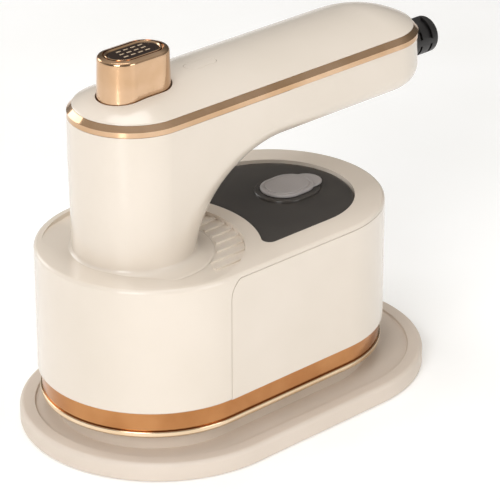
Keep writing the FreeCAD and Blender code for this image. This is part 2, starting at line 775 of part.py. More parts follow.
def make_filler():
    neck_outer = filler_hole - 0.1
    neck_inner = neck_outer - neck_wall
    collar = new_body("filler_collar")
    ring = new_sketch(collar, offset=lid_top)
    stadium(ring, filler_front, filler_rear, collar_radius)
    stadium(ring, filler_front, filler_rear, neck_inner)
    pad(collar, ring, collar_height)
    neck = new_sketch(collar, offset=lid_bottom)
    stadium(neck, filler_front, filler_rear, neck_outer)
    stadium(neck, filler_front, filler_rear, neck_inner)
    pad(collar, neck, lid_thickness)

    plug = new_body("filler_plug")
    head = new_sketch(plug, offset=collar_top)
    stadium(head, filler_front, filler_rear, plug_radius)
    pad(plug, head, plug_head)
    tab = new_sketch(plug, offset=collar_top)
    stadium(tab, filler_rear, plug_tab, 3.0, 1.5)
    pad(plug, tab, plug_head)
    stem = new_sketch(plug, offset=collar_top - plug_stem)
    stadium(stem, filler_front, filler_rear, neck_inner - clearance)
    pad(plug, stem, plug_stem)


pump_front = size("pump_front", -27.0)
pump_rear = size("pump_rear", -9.0)
pump_half = size("pump_half", 8.5)
pump_height = size("pump_height", 12.5)
pump_z = size("pump_z", 39.0)
hose_radius = size("hose_radius", 2.4)
hose_bore = size("hose_bore", 1.4)
hose_bend = size("hose_bend", 6.0)


def make_pump():
    bracket = new_body("pump_bracket")
    plate = new_sketch(bracket, offset=shield_top)
    box_outline(plate, pump_front - 2, pump_rear + 2, -pump_half - 3, pump_half + 3)
    pad(bracket, plate, 1.5)
    body = new_body("pump")
    case = new_sketch(body, offset=shield_top + 1.5)
    box_outline(case, pump_front, pump_rear, -pump_half, pump_half)
    pad(body, case, pump_height)
    coil = new_sketch(body, offset=shield_top + 1.5 + pump_height)
    circle(coil, (pump_front + pump_rear) / 2 + 2, 0, 5.5)
    pad(body, coil, 2.0)

    suction = new_body("suction_hose")
    ring = new_sketch(suction, "YZ_Plane", pump_rear)
    circle(ring, 0, pump_z, hose_radius)
    circle(ring, 0, pump_z, hose_bore)
    pad(suction, ring, swivel_x + lid_front_arc - tank_margin - 3 - pump_rear)


def make_steam_hose():
    """From the pump's front face, down through the heat shield to the steam chamber."""
    body = new_body("steam_hose")
    route = new_sketch(body, "XZ_Plane")
    bend_x = hose_x + hose_bend
    level = line(route, (pump_front.value, pump_z.value), (bend_x.value, pump_z.value))
    bend = arc(route, bend_x, pump_z - hose_bend, hose_bend, math.pi / 2, math.pi)
    drop = line(route, (hose_x.value, pump_z.value - hose_bend.value), (hose_x.value, cover_top.value))
    route.addConstraint(Sketcher.Constraint("Tangent", level, 2, bend, 1))
    route.addConstraint(Sketcher.Constraint("Tangent", bend, 2, drop, 1))
    bind(route, "Radius", bend, hose_bend)
    route.addConstraint(Sketcher.Constraint("Horizontal", level))
    route.addConstraint(Sketcher.Constraint("Vertical", drop))
    bind(route, "DistanceX", -1, 1, level, 1, pump_front)
    bind(route, "DistanceY", -1, 1, drop, 2, cover_top)
    section = new_sketch(body, "YZ_Plane", pump_front)
    circle(section, 0, pump_z, hose_radius)
    circle(section, 0, pump_z, hose_bore)
    pipe = body.newObject("PartDesign::AdditivePipe", "steam_hose_pipe")
    pipe.Profile = section
    pipe.Spine = (route, ["Edge1", "Edge2", "Edge3"])
    doc.recompute()


# ---------------------------------------------------------------- swivel
def make_swivel():
    bush = disc("swivel_bush", [(0, 0)], bush_bottom, recess_floor - bush_bottom,
                shaft_hole + bush_wall, shaft_hole, x=swivel_x)
    flange = new_sketch(bush, offset=deck_under - 1.5)
    circle(flange, 0, 0, shaft_hole + bush_wall + 4)
    circle(flange, 0, 0, shaft_hole + bush_wall - 0.5)
    pad(bush, flange, 1.5)

    washer_top = bush_bottom - 0.1
    clip_top = washer_top - washer_thickness
    clip_bottom = clip_top - circlip_thickness
    shaft = disc("swivel_shaft", [(0, 0)], shaft_bottom, shaft_top - shaft_bottom,
                 shaft_radius, shaft_bore, x=swivel_x)
    groove = new_sketch(shaft, offset=clip_top)
    circle(groove, 0, 0, shaft_radius + 1)
    circle(groove, 0, 0, shaft_radius - circlip_groove)
    pocket(shaft, groove, circlip_thickness)
    disc("swivel_washer", [(0, 0)], clip_top, washer_thickness, shaft_radius + 4, shaft_hole, x=swivel_x)
    disc("swivel_circlip", [(0, 0)], clip_bottom, circlip_thickness, shaft_radius + 2.5,
         shaft_radius - circlip_groove + running, x=swivel_x)


# ---------------------------------------------------------------- handle
handle_screw_points = [(handle_screw_front, 0), (handle_screw_rear, 0)]
carrier_posts = [(-24, 13), (-24, -13), (-47, 0)]
board_posts = [(x, side * 9) for x in (-8, 16) for side in (-1, 1)]
clamp_posts = [(51, 8), (51, -8)]


def make_handle_shell():
    """Flat-sided handle on a round column: the column's back slides rearward up into the handle."""
    body = new_body("handle_shell")
    slab = new_sketch(body, offset=handle_under)
    stadium(slab, swivel_x, handle_rear, handle_radius)
    pad(body, slab, band_bottom - handle_under)
    fillet(body, handle_round, flat_at(handle_under, handle_radius))
    steps = 8
    sections = []
    for step in range(steps + 1):
        turn = math.pi / 2 * step / steps
        rise = blend_radius * math.sin(turn)
        slide = blend_radius * (1 - math.cos(turn))
        section = new_sketch(body, offset=handle_under - blend_radius + rise)
        stadium(section, swivel_x, swivel_x + slide + 0.4, handle_radius - 0.1)
        sections.append(section)
    blend = body.newObject("PartDesign::AdditiveLoft", "handle_shell_blend")
    blend.Profile = sections[0]
    blend.Sections = sections[1:]
    blend.Ruled = True
    doc.recompute()
    root = new_sketch(body, offset=handle_under)
    stadium(root, swivel_x, swivel_x + blend_radius, handle_radius - 0.1)
    pad(body, root, handle_round + 1)
    column = new_sketch(body, offset=flange_bottom)
    circle(column, swivel_x, 0, column_foot)
    pad(body, column, handle_under - blend_radius - flange_bottom)
    foot = new_sketch(body, offset=flange_bottom)
    circle(foot, swivel_x, 0, flange_radius)
    pad(body, foot, flange_thickness)
    hollow = new_sketch(body, offset=band_bottom)
    stadium(hollow, swivel_x, handle_rear, handle_inside)
    pocket(body, hollow, band_bottom - handle_base)
    posts = new_sketch(body, offset=handle_base)
    for px, py in carrier_posts:
        circle(posts, px, py, 2.5)
    pad(body, posts, carrier_top - carrier_thickness - handle_base)
    posts = new_sketch(body, offset=handle_base)
    for px, py in board_posts:
        circle(posts, px, py, 2.5)
    for px, py in clamp_posts:
        circle(posts, px, py, 2.2)
    pad(body, posts, board_top - board_thickness - handle_base)
    bosses = new_sketch(body, offset=handle_base)
    for px, py in handle_screw_points:
        circle(bosses, px, py, 4.5)
    pad(body, bosses, 3.6)
    drill(body, handle_screw_points, handle_base + 3.6, 8, large_thread + 0.2)
    drill(body, handle_screw_points, handle_under, 3.5, 3.0, upwards=True)
    drill(body, [(swivel_x, 0)], handle_base + 1, handle_base + 1 - shaft_top, shaft_bore)
    drill(body, [(swivel_x, 0)], shaft_top, shaft_top - flange_bottom + 1, shaft_hole)
    drill(body, clamp_posts, board_top - board_thickness, 4.2, small_thread + running)
    exit_hole = new_sketch(body, "YZ_Plane", handle_rear + handle_radius + 1)
    circle(exit_hole, 0, relief_z, relief_neck + running)
    pocket(body, exit_hole, handle_wall + 2)


def make_band():
    """Bright trim round the handle, with an upright facet and a sloping one above it."""
    body = new_body("handle_band")
    ring = new_sketch(body, offset=band_bottom)
    stadium(ring, swivel_x, handle_rear, handle_radius)
    stadium(ring, swivel_x, handle_rear, cap_radius - 1.5)
    pad(body, ring, band_top - band_bottom)
    tip = body.Tip
    names = [f"Edge{number}" for number, edge in enumerate(tip.Shape.Edges, 1)
             if flat_at(band_top, handle_radius)(edge)]
    slope = body.newObject("PartDesign::Chamfer", "handle_band_slope")
    slope.Base = (tip, names)
    slope.Size = band_slope.value
    slope.setExpression("Size", band_slope.text)
    doc.recompute()


def make_cap():
    body = new_body("handle_cap")
    top = new_sketch(body, offset=band_top)
    stadium(top, swivel_x, handle_rear, cap_radius)
    pad(body, top, cap_crown)
    fillet(body, cap_round, flat_at(cap_top, cap_radius))
    inside = new_sketch(body, offset=band_top)
    stadium(inside, swivel_x, handle_rear, cap_radius - 3.0)
    pocket(body, inside, cap_under - band_top, upwards=True)
    lip = new_sketch(body, offset=band_top - 2.0)
    stadium(lip, swivel_x, handle_rear, cap_radius - 1.5 - 0.1)
    stadium(lip, swivel_x, handle_rear, cap_radius - 3.0)
    pad(body, lip, 2.0)
    posts = new_sketch(body, offset=handle_base + 3.6)
    for px, py in handle_screw_points:
        circle(posts, px, py, 3.0)
    pad(body, posts, cap_under - handle_base - 3.6)
    drill(body, handle_screw_points, handle_base + 3.6, 9, large_thread + running, upwards=True)
    button_hole = new_sketch(body, offset=cap_top)
    stadium(button_hole, button_front, button_rear, button_radius + clearance)
    pocket(body, button_hole, cap_thickness)
    key_hole = new_sketch(body, offset=cap_top)
    stadium(key_hole, key_front, key_rear, key_radius + key_gap)
    pocket(body, key_hole, cap_thickness)


def make_button():
    """Hollow steam button: a flange keeps it under the cap, and a rod inside works the switch."""
    inside_top = button_top - lens_depth - button_wall
    body = new_body("steam_button")
    column = new_sketch(body, offset=button_base)
    stadium(column, button_front, button_rear, button_radius)
    pad(body, column, button_top - button_base)
    fillet(body, button_edge, flat_at(button_top, button_radius))
    flange = new_sketch(body, offset=button_base)
    stadium(flange, button_front, button_rear, button_radius + 1.4)
    pad(body, flange, 1.2)
    inside = new_sketch(body, offset=button_base)
    stadium(inside, button_front, button_rear, button_radius - button_wall)
    pocket(body, inside, inside_top - button_base, upwards=True)
    rod_bottom = carrier_top + 3.0 + button_travel + 0.1
    rod = new_sketch(body, offset=rod_bottom)
    circle(rod, (button_front + button_rear) / 2, 0, 2.0)
    pad(body, rod, inside_top - rod_bottom)
    recess = new_sketch(body, offset=button_top)
    stadium(recess, button_front, button_rear, lens_radius)
    pocket(body, recess, lens_depth)
    lens = new_body("button_lens")
    glass = new_sketch(lens, offset=button_top - lens_depth)
    stadium(glass, button_front, button_rear, lens_radius - 0.05)
    pad(lens, glass, lens_depth - 0.1)


def make_spring():
    """Compression spring round the switch, from the carrier to the underside of the button's top."""
    bottom = carrier_top + spring_wire
    top = button_top - lens_depth - button_wall - spring_wire
    turns = 5
    spring = doc.addObject("Part::Feature", "button_spring")
    low = sheet.get("carrier_top") + sheet.get("spring_wire")
    height = top.value - bottom.value
    coil = Part.makeHelix(height / turns, height, sheet.get("spring_coil"))
    wire = Part.Wire(coil.Edges)
    start = V(sheet.get("spring_coil"), 0, 0)
    section = Part.Wire(Part.makeCircle(sheet.get("spring_wire"), start, V(0, 1, 0)))
    spring.Shape = wire.makePipeShell([section], True, True)
    spring.Label = "button_spring"
    middle = (sheet.get("button_front") + sheet.get("button_rear")) / 2
    spring.Placement = FreeCAD.Placement(V(middle, 0, low + 0.05), FreeCAD.Rotation())


def make_switches():
    carrier = new_body("switch_carrier")
    plate = new_sketch(carrier, offset=carrier_top - carrier_thickness)
    stadium(plate, swivel_x, swivel_x + 4, handle_inside - clearance)
    pad(carrier, plate, carrier_thickness)
    middle = (button_front + button_rear) / 2
    half = switch_side / 2
    switch = new_body("steam_switch")
    case = new_sketch(switch, offset=carrier_top)
    box_outline(case, middle - half, middle + half, -half, half)
    pad(switch, case, 3.0)

    board = new_body("control_board")
    plate = new_sketch(board, offset=board_top - board_thickness)
    box_outline(plate, board_front, board_rear, -13, 13)
    pad(board, plate, board_thickness)
    middle = (key_front + key_rear) / 2
    switch = new_body("key_switch")
    case = new_sketch(switch, offset=board_top)
    box_outline(case, middle - half, middle + half, -half, half)
    pad(switch, case, 3.0)

    key = new_body("power_key")
    top = new_sketch(key, offset=button_base)
    stadium(top, key_front, key_rear, key_radius)
    pad(key, top, cap_top - button_base)
    flange = new_sketch(key, offset=button_base)
    stadium(flange, key_front, key_rear, key_radius + 1.0)
    pad(key, flange, 1.2)
    rod_bottom = board_top + 3.0 + key_travel + 0.1
    rod = new_sketch(key, offset=rod_bottom)
    circle(rod, middle, 0, 1.2)
    pad(key, rod, button_base - rod_bottom)


def make_cord_end():
    clamp = new_body("wire_clamp")
    bar = new_sketch(clamp, offset=board_top - board_thickness)
    box_outline(bar, 48, 54, -11, 11)
    pad(clamp, bar, 2.0)
    drill(clamp, clamp_posts, board_top - board_thickness + 2.0, 2.0, small_thread + running)
    screws("clamp_screws", clamp_posts, board_top - board_thickness + 2.0, 1.4, 2.0, small_thread, 6.0)
    screws("handle_screws", handle_screw_points, handle_under + 3.5 - 1.8, 1.8, 2.6, large_thread, 11.0,
           upwards=True)

    wall_inside = handle_rear + handle_inside
    wall_outside = handle_rear + handle_radius
    body = new_body("strain_relief", 0, relief_z)
    profile = new_sketch(body, "XZ_Plane")
    outline(profile, ((wall_inside - 2.8, relief_bore), (relief_end, relief_bore), (relief_end, relief_radius),
                      (wall_outside + 0.1, relief_radius), (wall_outside + 0.1, relief_neck),
                      (wall_inside - 0.9, relief_neck), (wall_inside - 0.9, relief_neck + 0.5),
                      (wall_inside - 2.8, relief_neck + 0.5)))
    turned = body.newObject("PartDesign::Revolution", "strain_relief_turned")
    turned.Profile = profile
    turned.ReferenceAxis = (profile, ["H_Axis"])
    turned.Angle = 360
    doc.recompute()
    for ring in (8.4, 3.6):
        centre = relief_end - ring
        cut = new_sketch(body, "XZ_Plane")
        box_outline(cut, centre - slot_width / 2, centre + slot_width / 2,
                    relief_radius - slot_depth, relief_radius + 1)
        groove = body.newObject("PartDesign::Groove", "strain_relief_slot")
        groove.Profile = cut
        groove.ReferenceAxis = (cut, ["H_Axis"])
        groove.Angle = 70
        doc.recompute()
        around = body.newObject("PartDesign::PolarPattern", "strain_relief_slots")
        around.Originals = [groove]
        around.Axis = (cut, ["H_Axis"])
        around.Angle = 360
        around.Occurrences = 4
        body.Tip = around
        doc.recompute()


def check_and_write(labels):
    """Stop on any failed feature or bad shape, then write one STEP file per sub-part."""
    doc.recompute()
    for item in doc.Objects:
        if "Invalid" in item.State or "Error" in item.State:
            raise RuntimeError(f"{item.Label} failed: {item.State}")
    nodes = [next(item for item in doc.Objects if item.Label == label) for label in labels]
    for node in nodes:
        if node.Shape.isNull() or not node.Shape.isValid() or node.Shape.Volume <= 0:
            raise RuntimeError(f"{node.Label} has a bad shape")
    os.makedirs("parts", exist_ok=True)
    for node in nodes:
        node.Shape.exportStep(f"parts/{node.Label}.step")
        print(f"{node.Label}: {len(node.Shape.Solids)} solid(s), {node.Shape.Volume:.0f} mm3")


make_tray()
make_soleplate()
make_casting()
make_element()
make_chamber_cover()
make_skirt()
make_shield()
make_thermal_guards()
make_front_shell()
make_rear_shell()
make_tank()
make_lid()
make_filler()
make_pump()
make_steam_hose()
make_swivel()
make_handle_shell()
make_band()
make_cap()
make_button()
make_spring()
make_switches()
make_cord_end()
check_and_write((
    "rest_tray", "seat_pad", "tray_feet", "soleplate", "heater_casting", "heating_element",
    "chamber_gasket", "chamber_cover", "chamber_screws", "copper_skirt", "shield_spacers",
    "heat_shield", "shield_screws", "shell_screws", "thermostat", "thermal_fuse", "front_shell",
    "rear_shell", "water_tank", "tank_seal", "tank_window", "filler_collar", "filler_plug",
    "pump_bracket", "pump", "suction_hose", "steam_hose", "swivel_bush", "swivel_shaft",
    "swivel_washer", "swivel_circlip", "handle_shell", "handle_band", "handle_cap",
    "steam_button", "button_lens", "button_spring", "switch_carrier", "steam_switch",
    "control_board", "key_switch", "power_key", "wire_clamp", "clamp_screws", "handle_screws",
    "strain_relief"))
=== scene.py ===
"""Looks of a compact steam iron with a swivel handle, laid out as a Blender add-on and run as a script."""
import json
from math import atan2, cos, pi, radians, sin, sqrt

import bmesh
import bpy
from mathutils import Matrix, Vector


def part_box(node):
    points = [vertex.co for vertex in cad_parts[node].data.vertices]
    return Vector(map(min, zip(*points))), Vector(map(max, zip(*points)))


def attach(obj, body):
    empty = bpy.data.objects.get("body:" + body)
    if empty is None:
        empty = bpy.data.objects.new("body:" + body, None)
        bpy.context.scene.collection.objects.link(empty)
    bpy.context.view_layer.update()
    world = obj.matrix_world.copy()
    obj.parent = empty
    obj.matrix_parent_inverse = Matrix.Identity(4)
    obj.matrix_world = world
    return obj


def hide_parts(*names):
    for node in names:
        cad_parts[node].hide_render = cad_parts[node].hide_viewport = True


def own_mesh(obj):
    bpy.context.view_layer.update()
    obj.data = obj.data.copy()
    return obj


bl_info = {
    "name": "Steam iron looks",
    "version": (1, 0, 0),
    "blender": (4, 5, 0),
    "location": "View3D > Sidebar > Iron",
    "description": "Builds the visible pieces of a compact swivel-handle steam iron",
    "category": "Add Mesh",
}

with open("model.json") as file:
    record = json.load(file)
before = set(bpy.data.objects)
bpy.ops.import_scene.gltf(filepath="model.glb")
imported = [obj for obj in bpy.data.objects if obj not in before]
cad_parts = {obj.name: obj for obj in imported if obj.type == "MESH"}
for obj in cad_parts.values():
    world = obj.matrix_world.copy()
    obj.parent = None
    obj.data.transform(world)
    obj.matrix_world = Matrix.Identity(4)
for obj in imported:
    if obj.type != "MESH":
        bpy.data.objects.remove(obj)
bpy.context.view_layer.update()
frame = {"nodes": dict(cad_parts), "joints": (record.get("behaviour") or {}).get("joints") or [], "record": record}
MM = 0.001
ARC = 40                      # segments in a half circle of a large outline

# Places read from the frame
shell_low, shell_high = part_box("front_shell")
rear_low, rear_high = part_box("rear_shell")
tray_low, tray_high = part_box("rest_tray")
pad_low, pad_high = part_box("seat_pad")
sole_low, sole_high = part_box("soleplate")
skirt_low, skirt_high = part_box("copper_skirt")
band_low, band_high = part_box("handle_band")
cap_low, cap_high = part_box("handle_cap")
column_low, column_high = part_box("handle_shell")
lid_low, lid_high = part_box("tank_window")
collar_low, collar_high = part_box("filler_collar")
plug_low, plug_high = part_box("filler_plug")
button_low, button_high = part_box("steam_button")
lens_low, lens_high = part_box("button_lens")
key_low, key_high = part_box("power_key")
relief_low, relief_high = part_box("strain_relief")
JOINTS = {joint["name"]: joint for joint in frame["joints"]}
SWIVEL_X = JOINTS["handle_swivel"]["pos_m"][0]
BODY_R = shell_high.y
BODY_X = shell_high.x - BODY_R
HANDLE_R = band_high.y
HANDLE_X = band_high.x - HANDLE_R
DECK_Z = shell_high.z

# Sizes that several pieces share
DECK_THICK = 2.8 * MM
LID_FRONT_ARC = 40.6 * MM     # the lid's hollow front edge, about the swivel
RECESS_R = 34.8 * MM          # the ribbed recess, about the swivel
CAP_UNDER = band_high.z + 1.4 * MM
BUTTON_FLANGE = 1.4 * MM
KEY_FLANGE = 1.0 * MM
CUT_FAR = 90 * MM             # beyond the body's rear end
CUT_SIDE = 60 * MM            # beyond the body's sides
# Steps along half of a ring of the handle: its level underside, its rounded corner and its wall
FLAT_STEPS, CORNER_STEPS, WALL_STEPS = 6, 14, 24


# ------------------------------------------------------------------ settings
def length(name, description, default):
    return bpy.props.FloatProperty(name=name, description=description, default=default, unit="LENGTH", precision=5)


def colour(name, description, default):
    return bpy.props.StringProperty(name=name, description=f"{description} colour, sRGB hex", default=default)


class IronShape(bpy.types.PropertyGroup):
    handle_blend: length("Handle blend", "Radius of the hollow between column and handle", 28 * MM)
    handle_round: length("Handle rounding", "Radius of the handle's lower edges", 6.5 * MM)
    cap_crown: length("Cap crown", "Rise of the handle's domed cap over its edge", 4.6 * MM)
    panel_gap: length("Panel gap", "Width of the seam round the rear panel", 0.22 * MM)
    recess_depth: length("Recess depth", "Depth of the ribbed recess in the deck", 1.5 * MM)
    rib_pitch: length("Rib pitch", "Distance between the deck's grip ribs", 4.6 * MM)


class IronColours(bpy.types.PropertyGroup):
    cream: colour("Cream", "Gloss shell", "E5DACD")
    tray: colour("Tray", "Rest tray", "DFD2C5")
    gold: colour("Gold", "Champagne trim", "DAB898")
    copper: colour("Copper", "Skirt", "BC8657")
    smoke: colour("Smoke", "Tank lid", "47433F")


# ------------------------------------------------------------------ mesh helpers
def new_object(name, data):
    """A mesh, light or camera in the scene."""
    obj = bpy.data.objects.new(name, data)
    bpy.context.scene.collection.objects.link(obj)
    return obj


def from_bmesh(name, bm):
    mesh = bpy.data.meshes.new(name)
    bm.to_mesh(mesh)
    bm.free()
    return new_object(name, mesh)


def stadium_ring(x1, x2, radius, z, y=0.0):
    """Points round a slot outline along X, counter-clockwise from the rear end's right side."""
    points = []
    for centre, first in ((x2, -pi / 2), (x1, pi / 2)):
        for step in range(ARC + 1):
            turn = first + pi * step / ARC
            points.append(Vector((centre + radius * cos(turn), y + radius * sin(turn), z)))
    return points


def loft(name, rings, closed=False):
    """Skin between rings of equally many points; the ends are filled unless the skin closes on itself."""
    bm = bmesh.new()
    rows = [[bm.verts.new(point) for point in ring] for ring in rings]
    count = len(rows[0])
    pairs = list(zip(rows, rows[1:])) + ([(rows[-1], rows[0])] if closed else [])
    for low, high in pairs:
        for step in range(count):
            nxt = (step + 1) % count
            bm.faces.new((low[step], low[nxt], high[nxt], high[step]))
    if not closed:
        bm.faces.new(list(reversed(rows[0])))
        bm.faces.new(rows[-1])
    bmesh.ops.remove_doubles(bm, verts=bm.verts, dist=1e-7)
    bmesh.ops.dissolve_degenerate(bm, edges=bm.edges, dist=1e-7)
    bmesh.ops.recalc_face_normals(bm, faces=bm.faces)
    return from_bmesh(name, bm)


def stack(name, profile, x1, x2, y=0.0, closed=False):
    """A slot-shaped piece from (radius, height) pairs; radii are the outline's."""
    return loft(name, [stadium_ring(x1, x2, max(radius, 0.0), z, y) for radius, z in profile], closed)


def corner(radius_at, height_at, bend, start, end, steps=6):
    """A rounded corner as (radius, height) pairs about a centre, between two angles in degrees."""
    turns = [radians(start + (end - start) * step / steps) for step in range(steps + 1)]
    return [(radius_at + bend * cos(turn), height_at + bend * sin(turn)) for turn in turns]


def prism(name, outline, low, high):
    """A closed upright prism over a plan outline given as (x, y) pairs."""
    return loft(name, [[Vector((x, y, z)) for x, y in outline] for z in (low, high)])


def slot_prism(name, x1, x2, radius, low, high):
    """A closed upright prism over a slot outline along X."""
    return prism(name, [(x, y) for x, y, z in stadium_ring(x1, x2, radius, 0)], low, high)


def turned(name, profile, height):
    """A closed ring from (place along X, radius) pairs, turned about a level axis at a height."""
    turns = [2 * pi * step / 64 for step in range(64)]
    rings = [[Vector((x, radius * cos(t), height + radius * sin(t))) for t in turns] for x, radius in profile]
    return loft(name, rings, closed=True)


def arc_points(x, y, radius, start, end, steps):
    """Points of an arc in plan, between two angles in radians."""
    turns = [start + (end - start) * step / steps for step in range(steps + 1)]
    return [(x + radius * cos(turn), y + radius * sin(turn)) for turn in turns]


def circle_points(x, radius, count):
    """Points of a whole circle in plan, centred on the X axis."""
    return arc_points(x, 0, radius, 0, 2 * pi * (count - 1) / count, count - 1)


def bake(obj):
    """Turn an object's live modifiers into its plain mesh."""
    graph = bpy.context.evaluated_depsgraph_get()
    graph.update()
    mesh = bpy.data.meshes.new_from_object(obj.evaluated_get(graph))
    obj.modifiers.clear()
    old = obj.data
    obj.data = mesh
    if old.users == 0:
        bpy.data.meshes.remove(old)
    return obj


def combine(obj, other, operation="DIFFERENCE"):
    """Cut, join or intersect with another closed mesh, which is used up."""
    modifier = obj.modifiers.new("combine", "BOOLEAN")
    modifier.operation = operation
    modifier.solver = "EXACT"
    modifier.object = other
    bake(obj)
    if not obj.data.polygons:
        raise RuntimeError(f"nothing is left of {obj.name} after it was combined with {other.name}")
    mesh = other.data
    bpy.data.objects.remove(other)
    if mesh.users == 0:
        bpy.data.meshes.remove(mesh)
    return obj


def join(name, parts):
    """Several meshes in one object."""
    bm = bmesh.new()
    for part in parts:
        bm.from_mesh(part.data)
        bpy.data.meshes.remove(part.data)
    return from_bmesh(name, bm)


def soften(obj, width=0.25 * MM, segments=2, angle=35):
    """Small rounded edges, as a mould leaves them, and smooth faces between."""
    if width:
        modifier = obj.modifiers.new("edges", "BEVEL")
        modifier.width = width
        modifier.segments = segments
        modifier.limit_method = "ANGLE"
        modifier.angle_limit = radians(angle)
        modifier.use_clamp_overlap = True
        modifier.loop_slide = True
        bake(obj)
    obj.data.shade_smooth()
    obj.data.set_sharp_from_angle(angle=radians(angle))
    modifier = obj.modifiers.new("flat_faces", "WEIGHTED_NORMAL")
    modifier.keep_sharp = True
    bake(obj)
    return obj


def finish_piece(obj, material, body, slot, *nodes):
    """Give a piece its material, its body and the CAD nodes that it stands for."""
    obj.data.materials.clear()
    obj.data.materials.append(bpy.data.materials[material])
    for polygon in obj.data.polygons:
        polygon.material_index = 0
    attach(obj, body)
    if nodes:
        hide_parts(*nodes)
    return obj


# ------------------------------------------------------------------ geometry nodes
def tree_node(tree, kind, settings=None, **links):
    """Add a node, set its properties and inputs; a value that is a socket is linked."""
    node = tree.nodes.new(kind)
    for key, value in (settings or {}).items():
        setattr(node, key, value)
    for key, value in links.items():
        by_number = key[0] == "i" and key[1:].isdigit()
        socket = node.inputs[int(key[1:]) if by_number else key.replace("_", " ")]
        if isinstance(value, bpy.types.NodeSocket):
            tree.links.new(value, socket)
        else:
            socket.default_value = value
    return node


def new_tree(name, **inputs):
    """A geometry node group with named inputs, and the sockets that give their values."""
    tree = bpy.data.node_groups.new(name, "GeometryNodeTree")
    for key, kind in inputs.items():
        tree.interface.new_socket(key.replace("_", " "), in_out="INPUT", socket_type=f"NodeSocket{kind}")
    tree.interface.new_socket("Geometry", in_out="OUTPUT", socket_type="NodeSocketGeometry")
    return tree, tree.nodes.new("NodeGroupInput").outputs


def end_tree(tree, geometry, **material):
    """Close a group with Set Material and its output."""
    coloured = tree_node(tree, "GeometryNodeSetMaterial", Geometry=geometry, **material)
    out = tree.nodes.new("NodeGroupOutput")
    tree.links.new(coloured.outputs["Geometry"], out.inputs[0])
    return tree


def row_tree():
    """A line of equal bars: count, first place, step and the bar's own size."""
    tree, given = new_tree("Row of bars", Count="Int", Start="Vector", Step="Vector", Bar="Vector",
                           Material="Material")
    row = tree_node(tree, "GeometryNodeMeshLine", {"mode": "OFFSET"}, Count=given["Count"],
                    Start_Location=given["Start"], Offset=given["Step"])
    bar = tree_node(tree, "GeometryNodeMeshCube", Size=given["Bar"])
    placed = tree_node(tree, "GeometryNodeInstanceOnPoints", Points=row.outputs["Mesh"],
                       Instance=bar.outputs["Mesh"])
    real = tree_node(tree, "GeometryNodeRealizeInstances", Geometry=placed.outputs["Instances"])
    return end_tree(tree, real.outputs["Geometry"], Material=given["Material"])


def ring_tree():
    """Equal bars round an axis along X."""
    tree, given = new_tree("Ring of bars", Count="Int", Radius="Float", Centre="Vector", Bar="Vector",
                           Material="Material")
    circle = tree_node(tree, "GeometryNodeMeshCircle", Vertices=given["Count"], Radius=given["Radius"])
    place = tree_node(tree, "GeometryNodeInputPosition")
    turned = tree_node(tree, "FunctionNodeAlignRotationToVector", {"axis": "Y"}, Vector=place.outputs[0])
    bar = tree_node(tree, "GeometryNodeMeshCube", Size=given["Bar"])
    placed = tree_node(tree, "GeometryNodeInstanceOnPoints", Points=circle.outputs["Mesh"],
                       Instance=bar.outputs["Mesh"], Rotation=turned.outputs[0])
    real = tree_node(tree, "GeometryNodeRealizeInstances", Geometry=placed.outputs["Instances"])
    moved = tree_node(tree, "GeometryNodeTransform", Geometry=real.outputs["Geometry"],
                      Translation=given["Centre"], Rotation=(0, radians(90), 0))
    return end_tree(tree, moved.outputs["Geometry"], Material=given["Material"])


def grow(name, tree, **inputs):
    """Make a plain mesh object from a geometry node tree and its named inputs."""
    obj = new_object(name, bpy.data.meshes.new(name))
    modifier = obj.modifiers.new("nodes", "NODES")
    modifier.node_group = tree
    sockets = {item.name: item.identifier for item in tree.interface.items_tree if item.in_out == "INPUT"}
    for key, value in inputs.items():
        modifier[sockets[key.replace("_", " ")]] = value
    return bake(obj)


# ------------------------------------------------------------------ materials
def linear(code):
    """sRGB hex to linear colour."""
    values = [int(code[place:place + 2], 16) / 255 for place in (0, 2, 4)]
    return tuple(v / 12.92 if v <= 0.04045 else ((v + 0.055) / 1.055) ** 2.4 for v in values) + (1.0,)


def shader(name, **sockets):
    """A material with one Principled shader, its constants set on the shader's own sockets."""
    material = bpy.data.materials.new(name)
    material.use_nodes = True
    tree = material.node_tree
    bsdf = next(node for node in tree.nodes if node.type == "BSDF_PRINCIPLED")
    for key, value in sockets.items():
        bsdf.inputs[key.replace("_", " ")].default_value = value
    return tree, bsdf


def mottled(tree, bsdf, light, dark, scale_mm, amount=1.0):
    """Slow colour variation, as pigment gives it, at a real size."""
    where = tree_node(tree, "ShaderNodeTexCoord")
    noise = tree_node(tree, "ShaderNodeTexNoise", Vector=where.outputs["Object"], Scale=1 / (scale_mm * MM),
                      Detail=3.0, Roughness=0.5)
    ramp = tree_node(tree, "ShaderNodeMapRange", Value=noise.outputs["Fac"], From_Min=0.35, From_Max=0.65,
                     To_Min=0.0, To_Max=amount)
    mix = tree_node(tree, "ShaderNodeMix", {"data_type": "RGBA"}, i0=ramp.outputs[0])
    mix.inputs[6].default_value = linear(light)
    mix.inputs[7].default_value = linear(dark)
    tree.links.new(mix.outputs[2], bsdf.inputs["Base Color"])
    return where


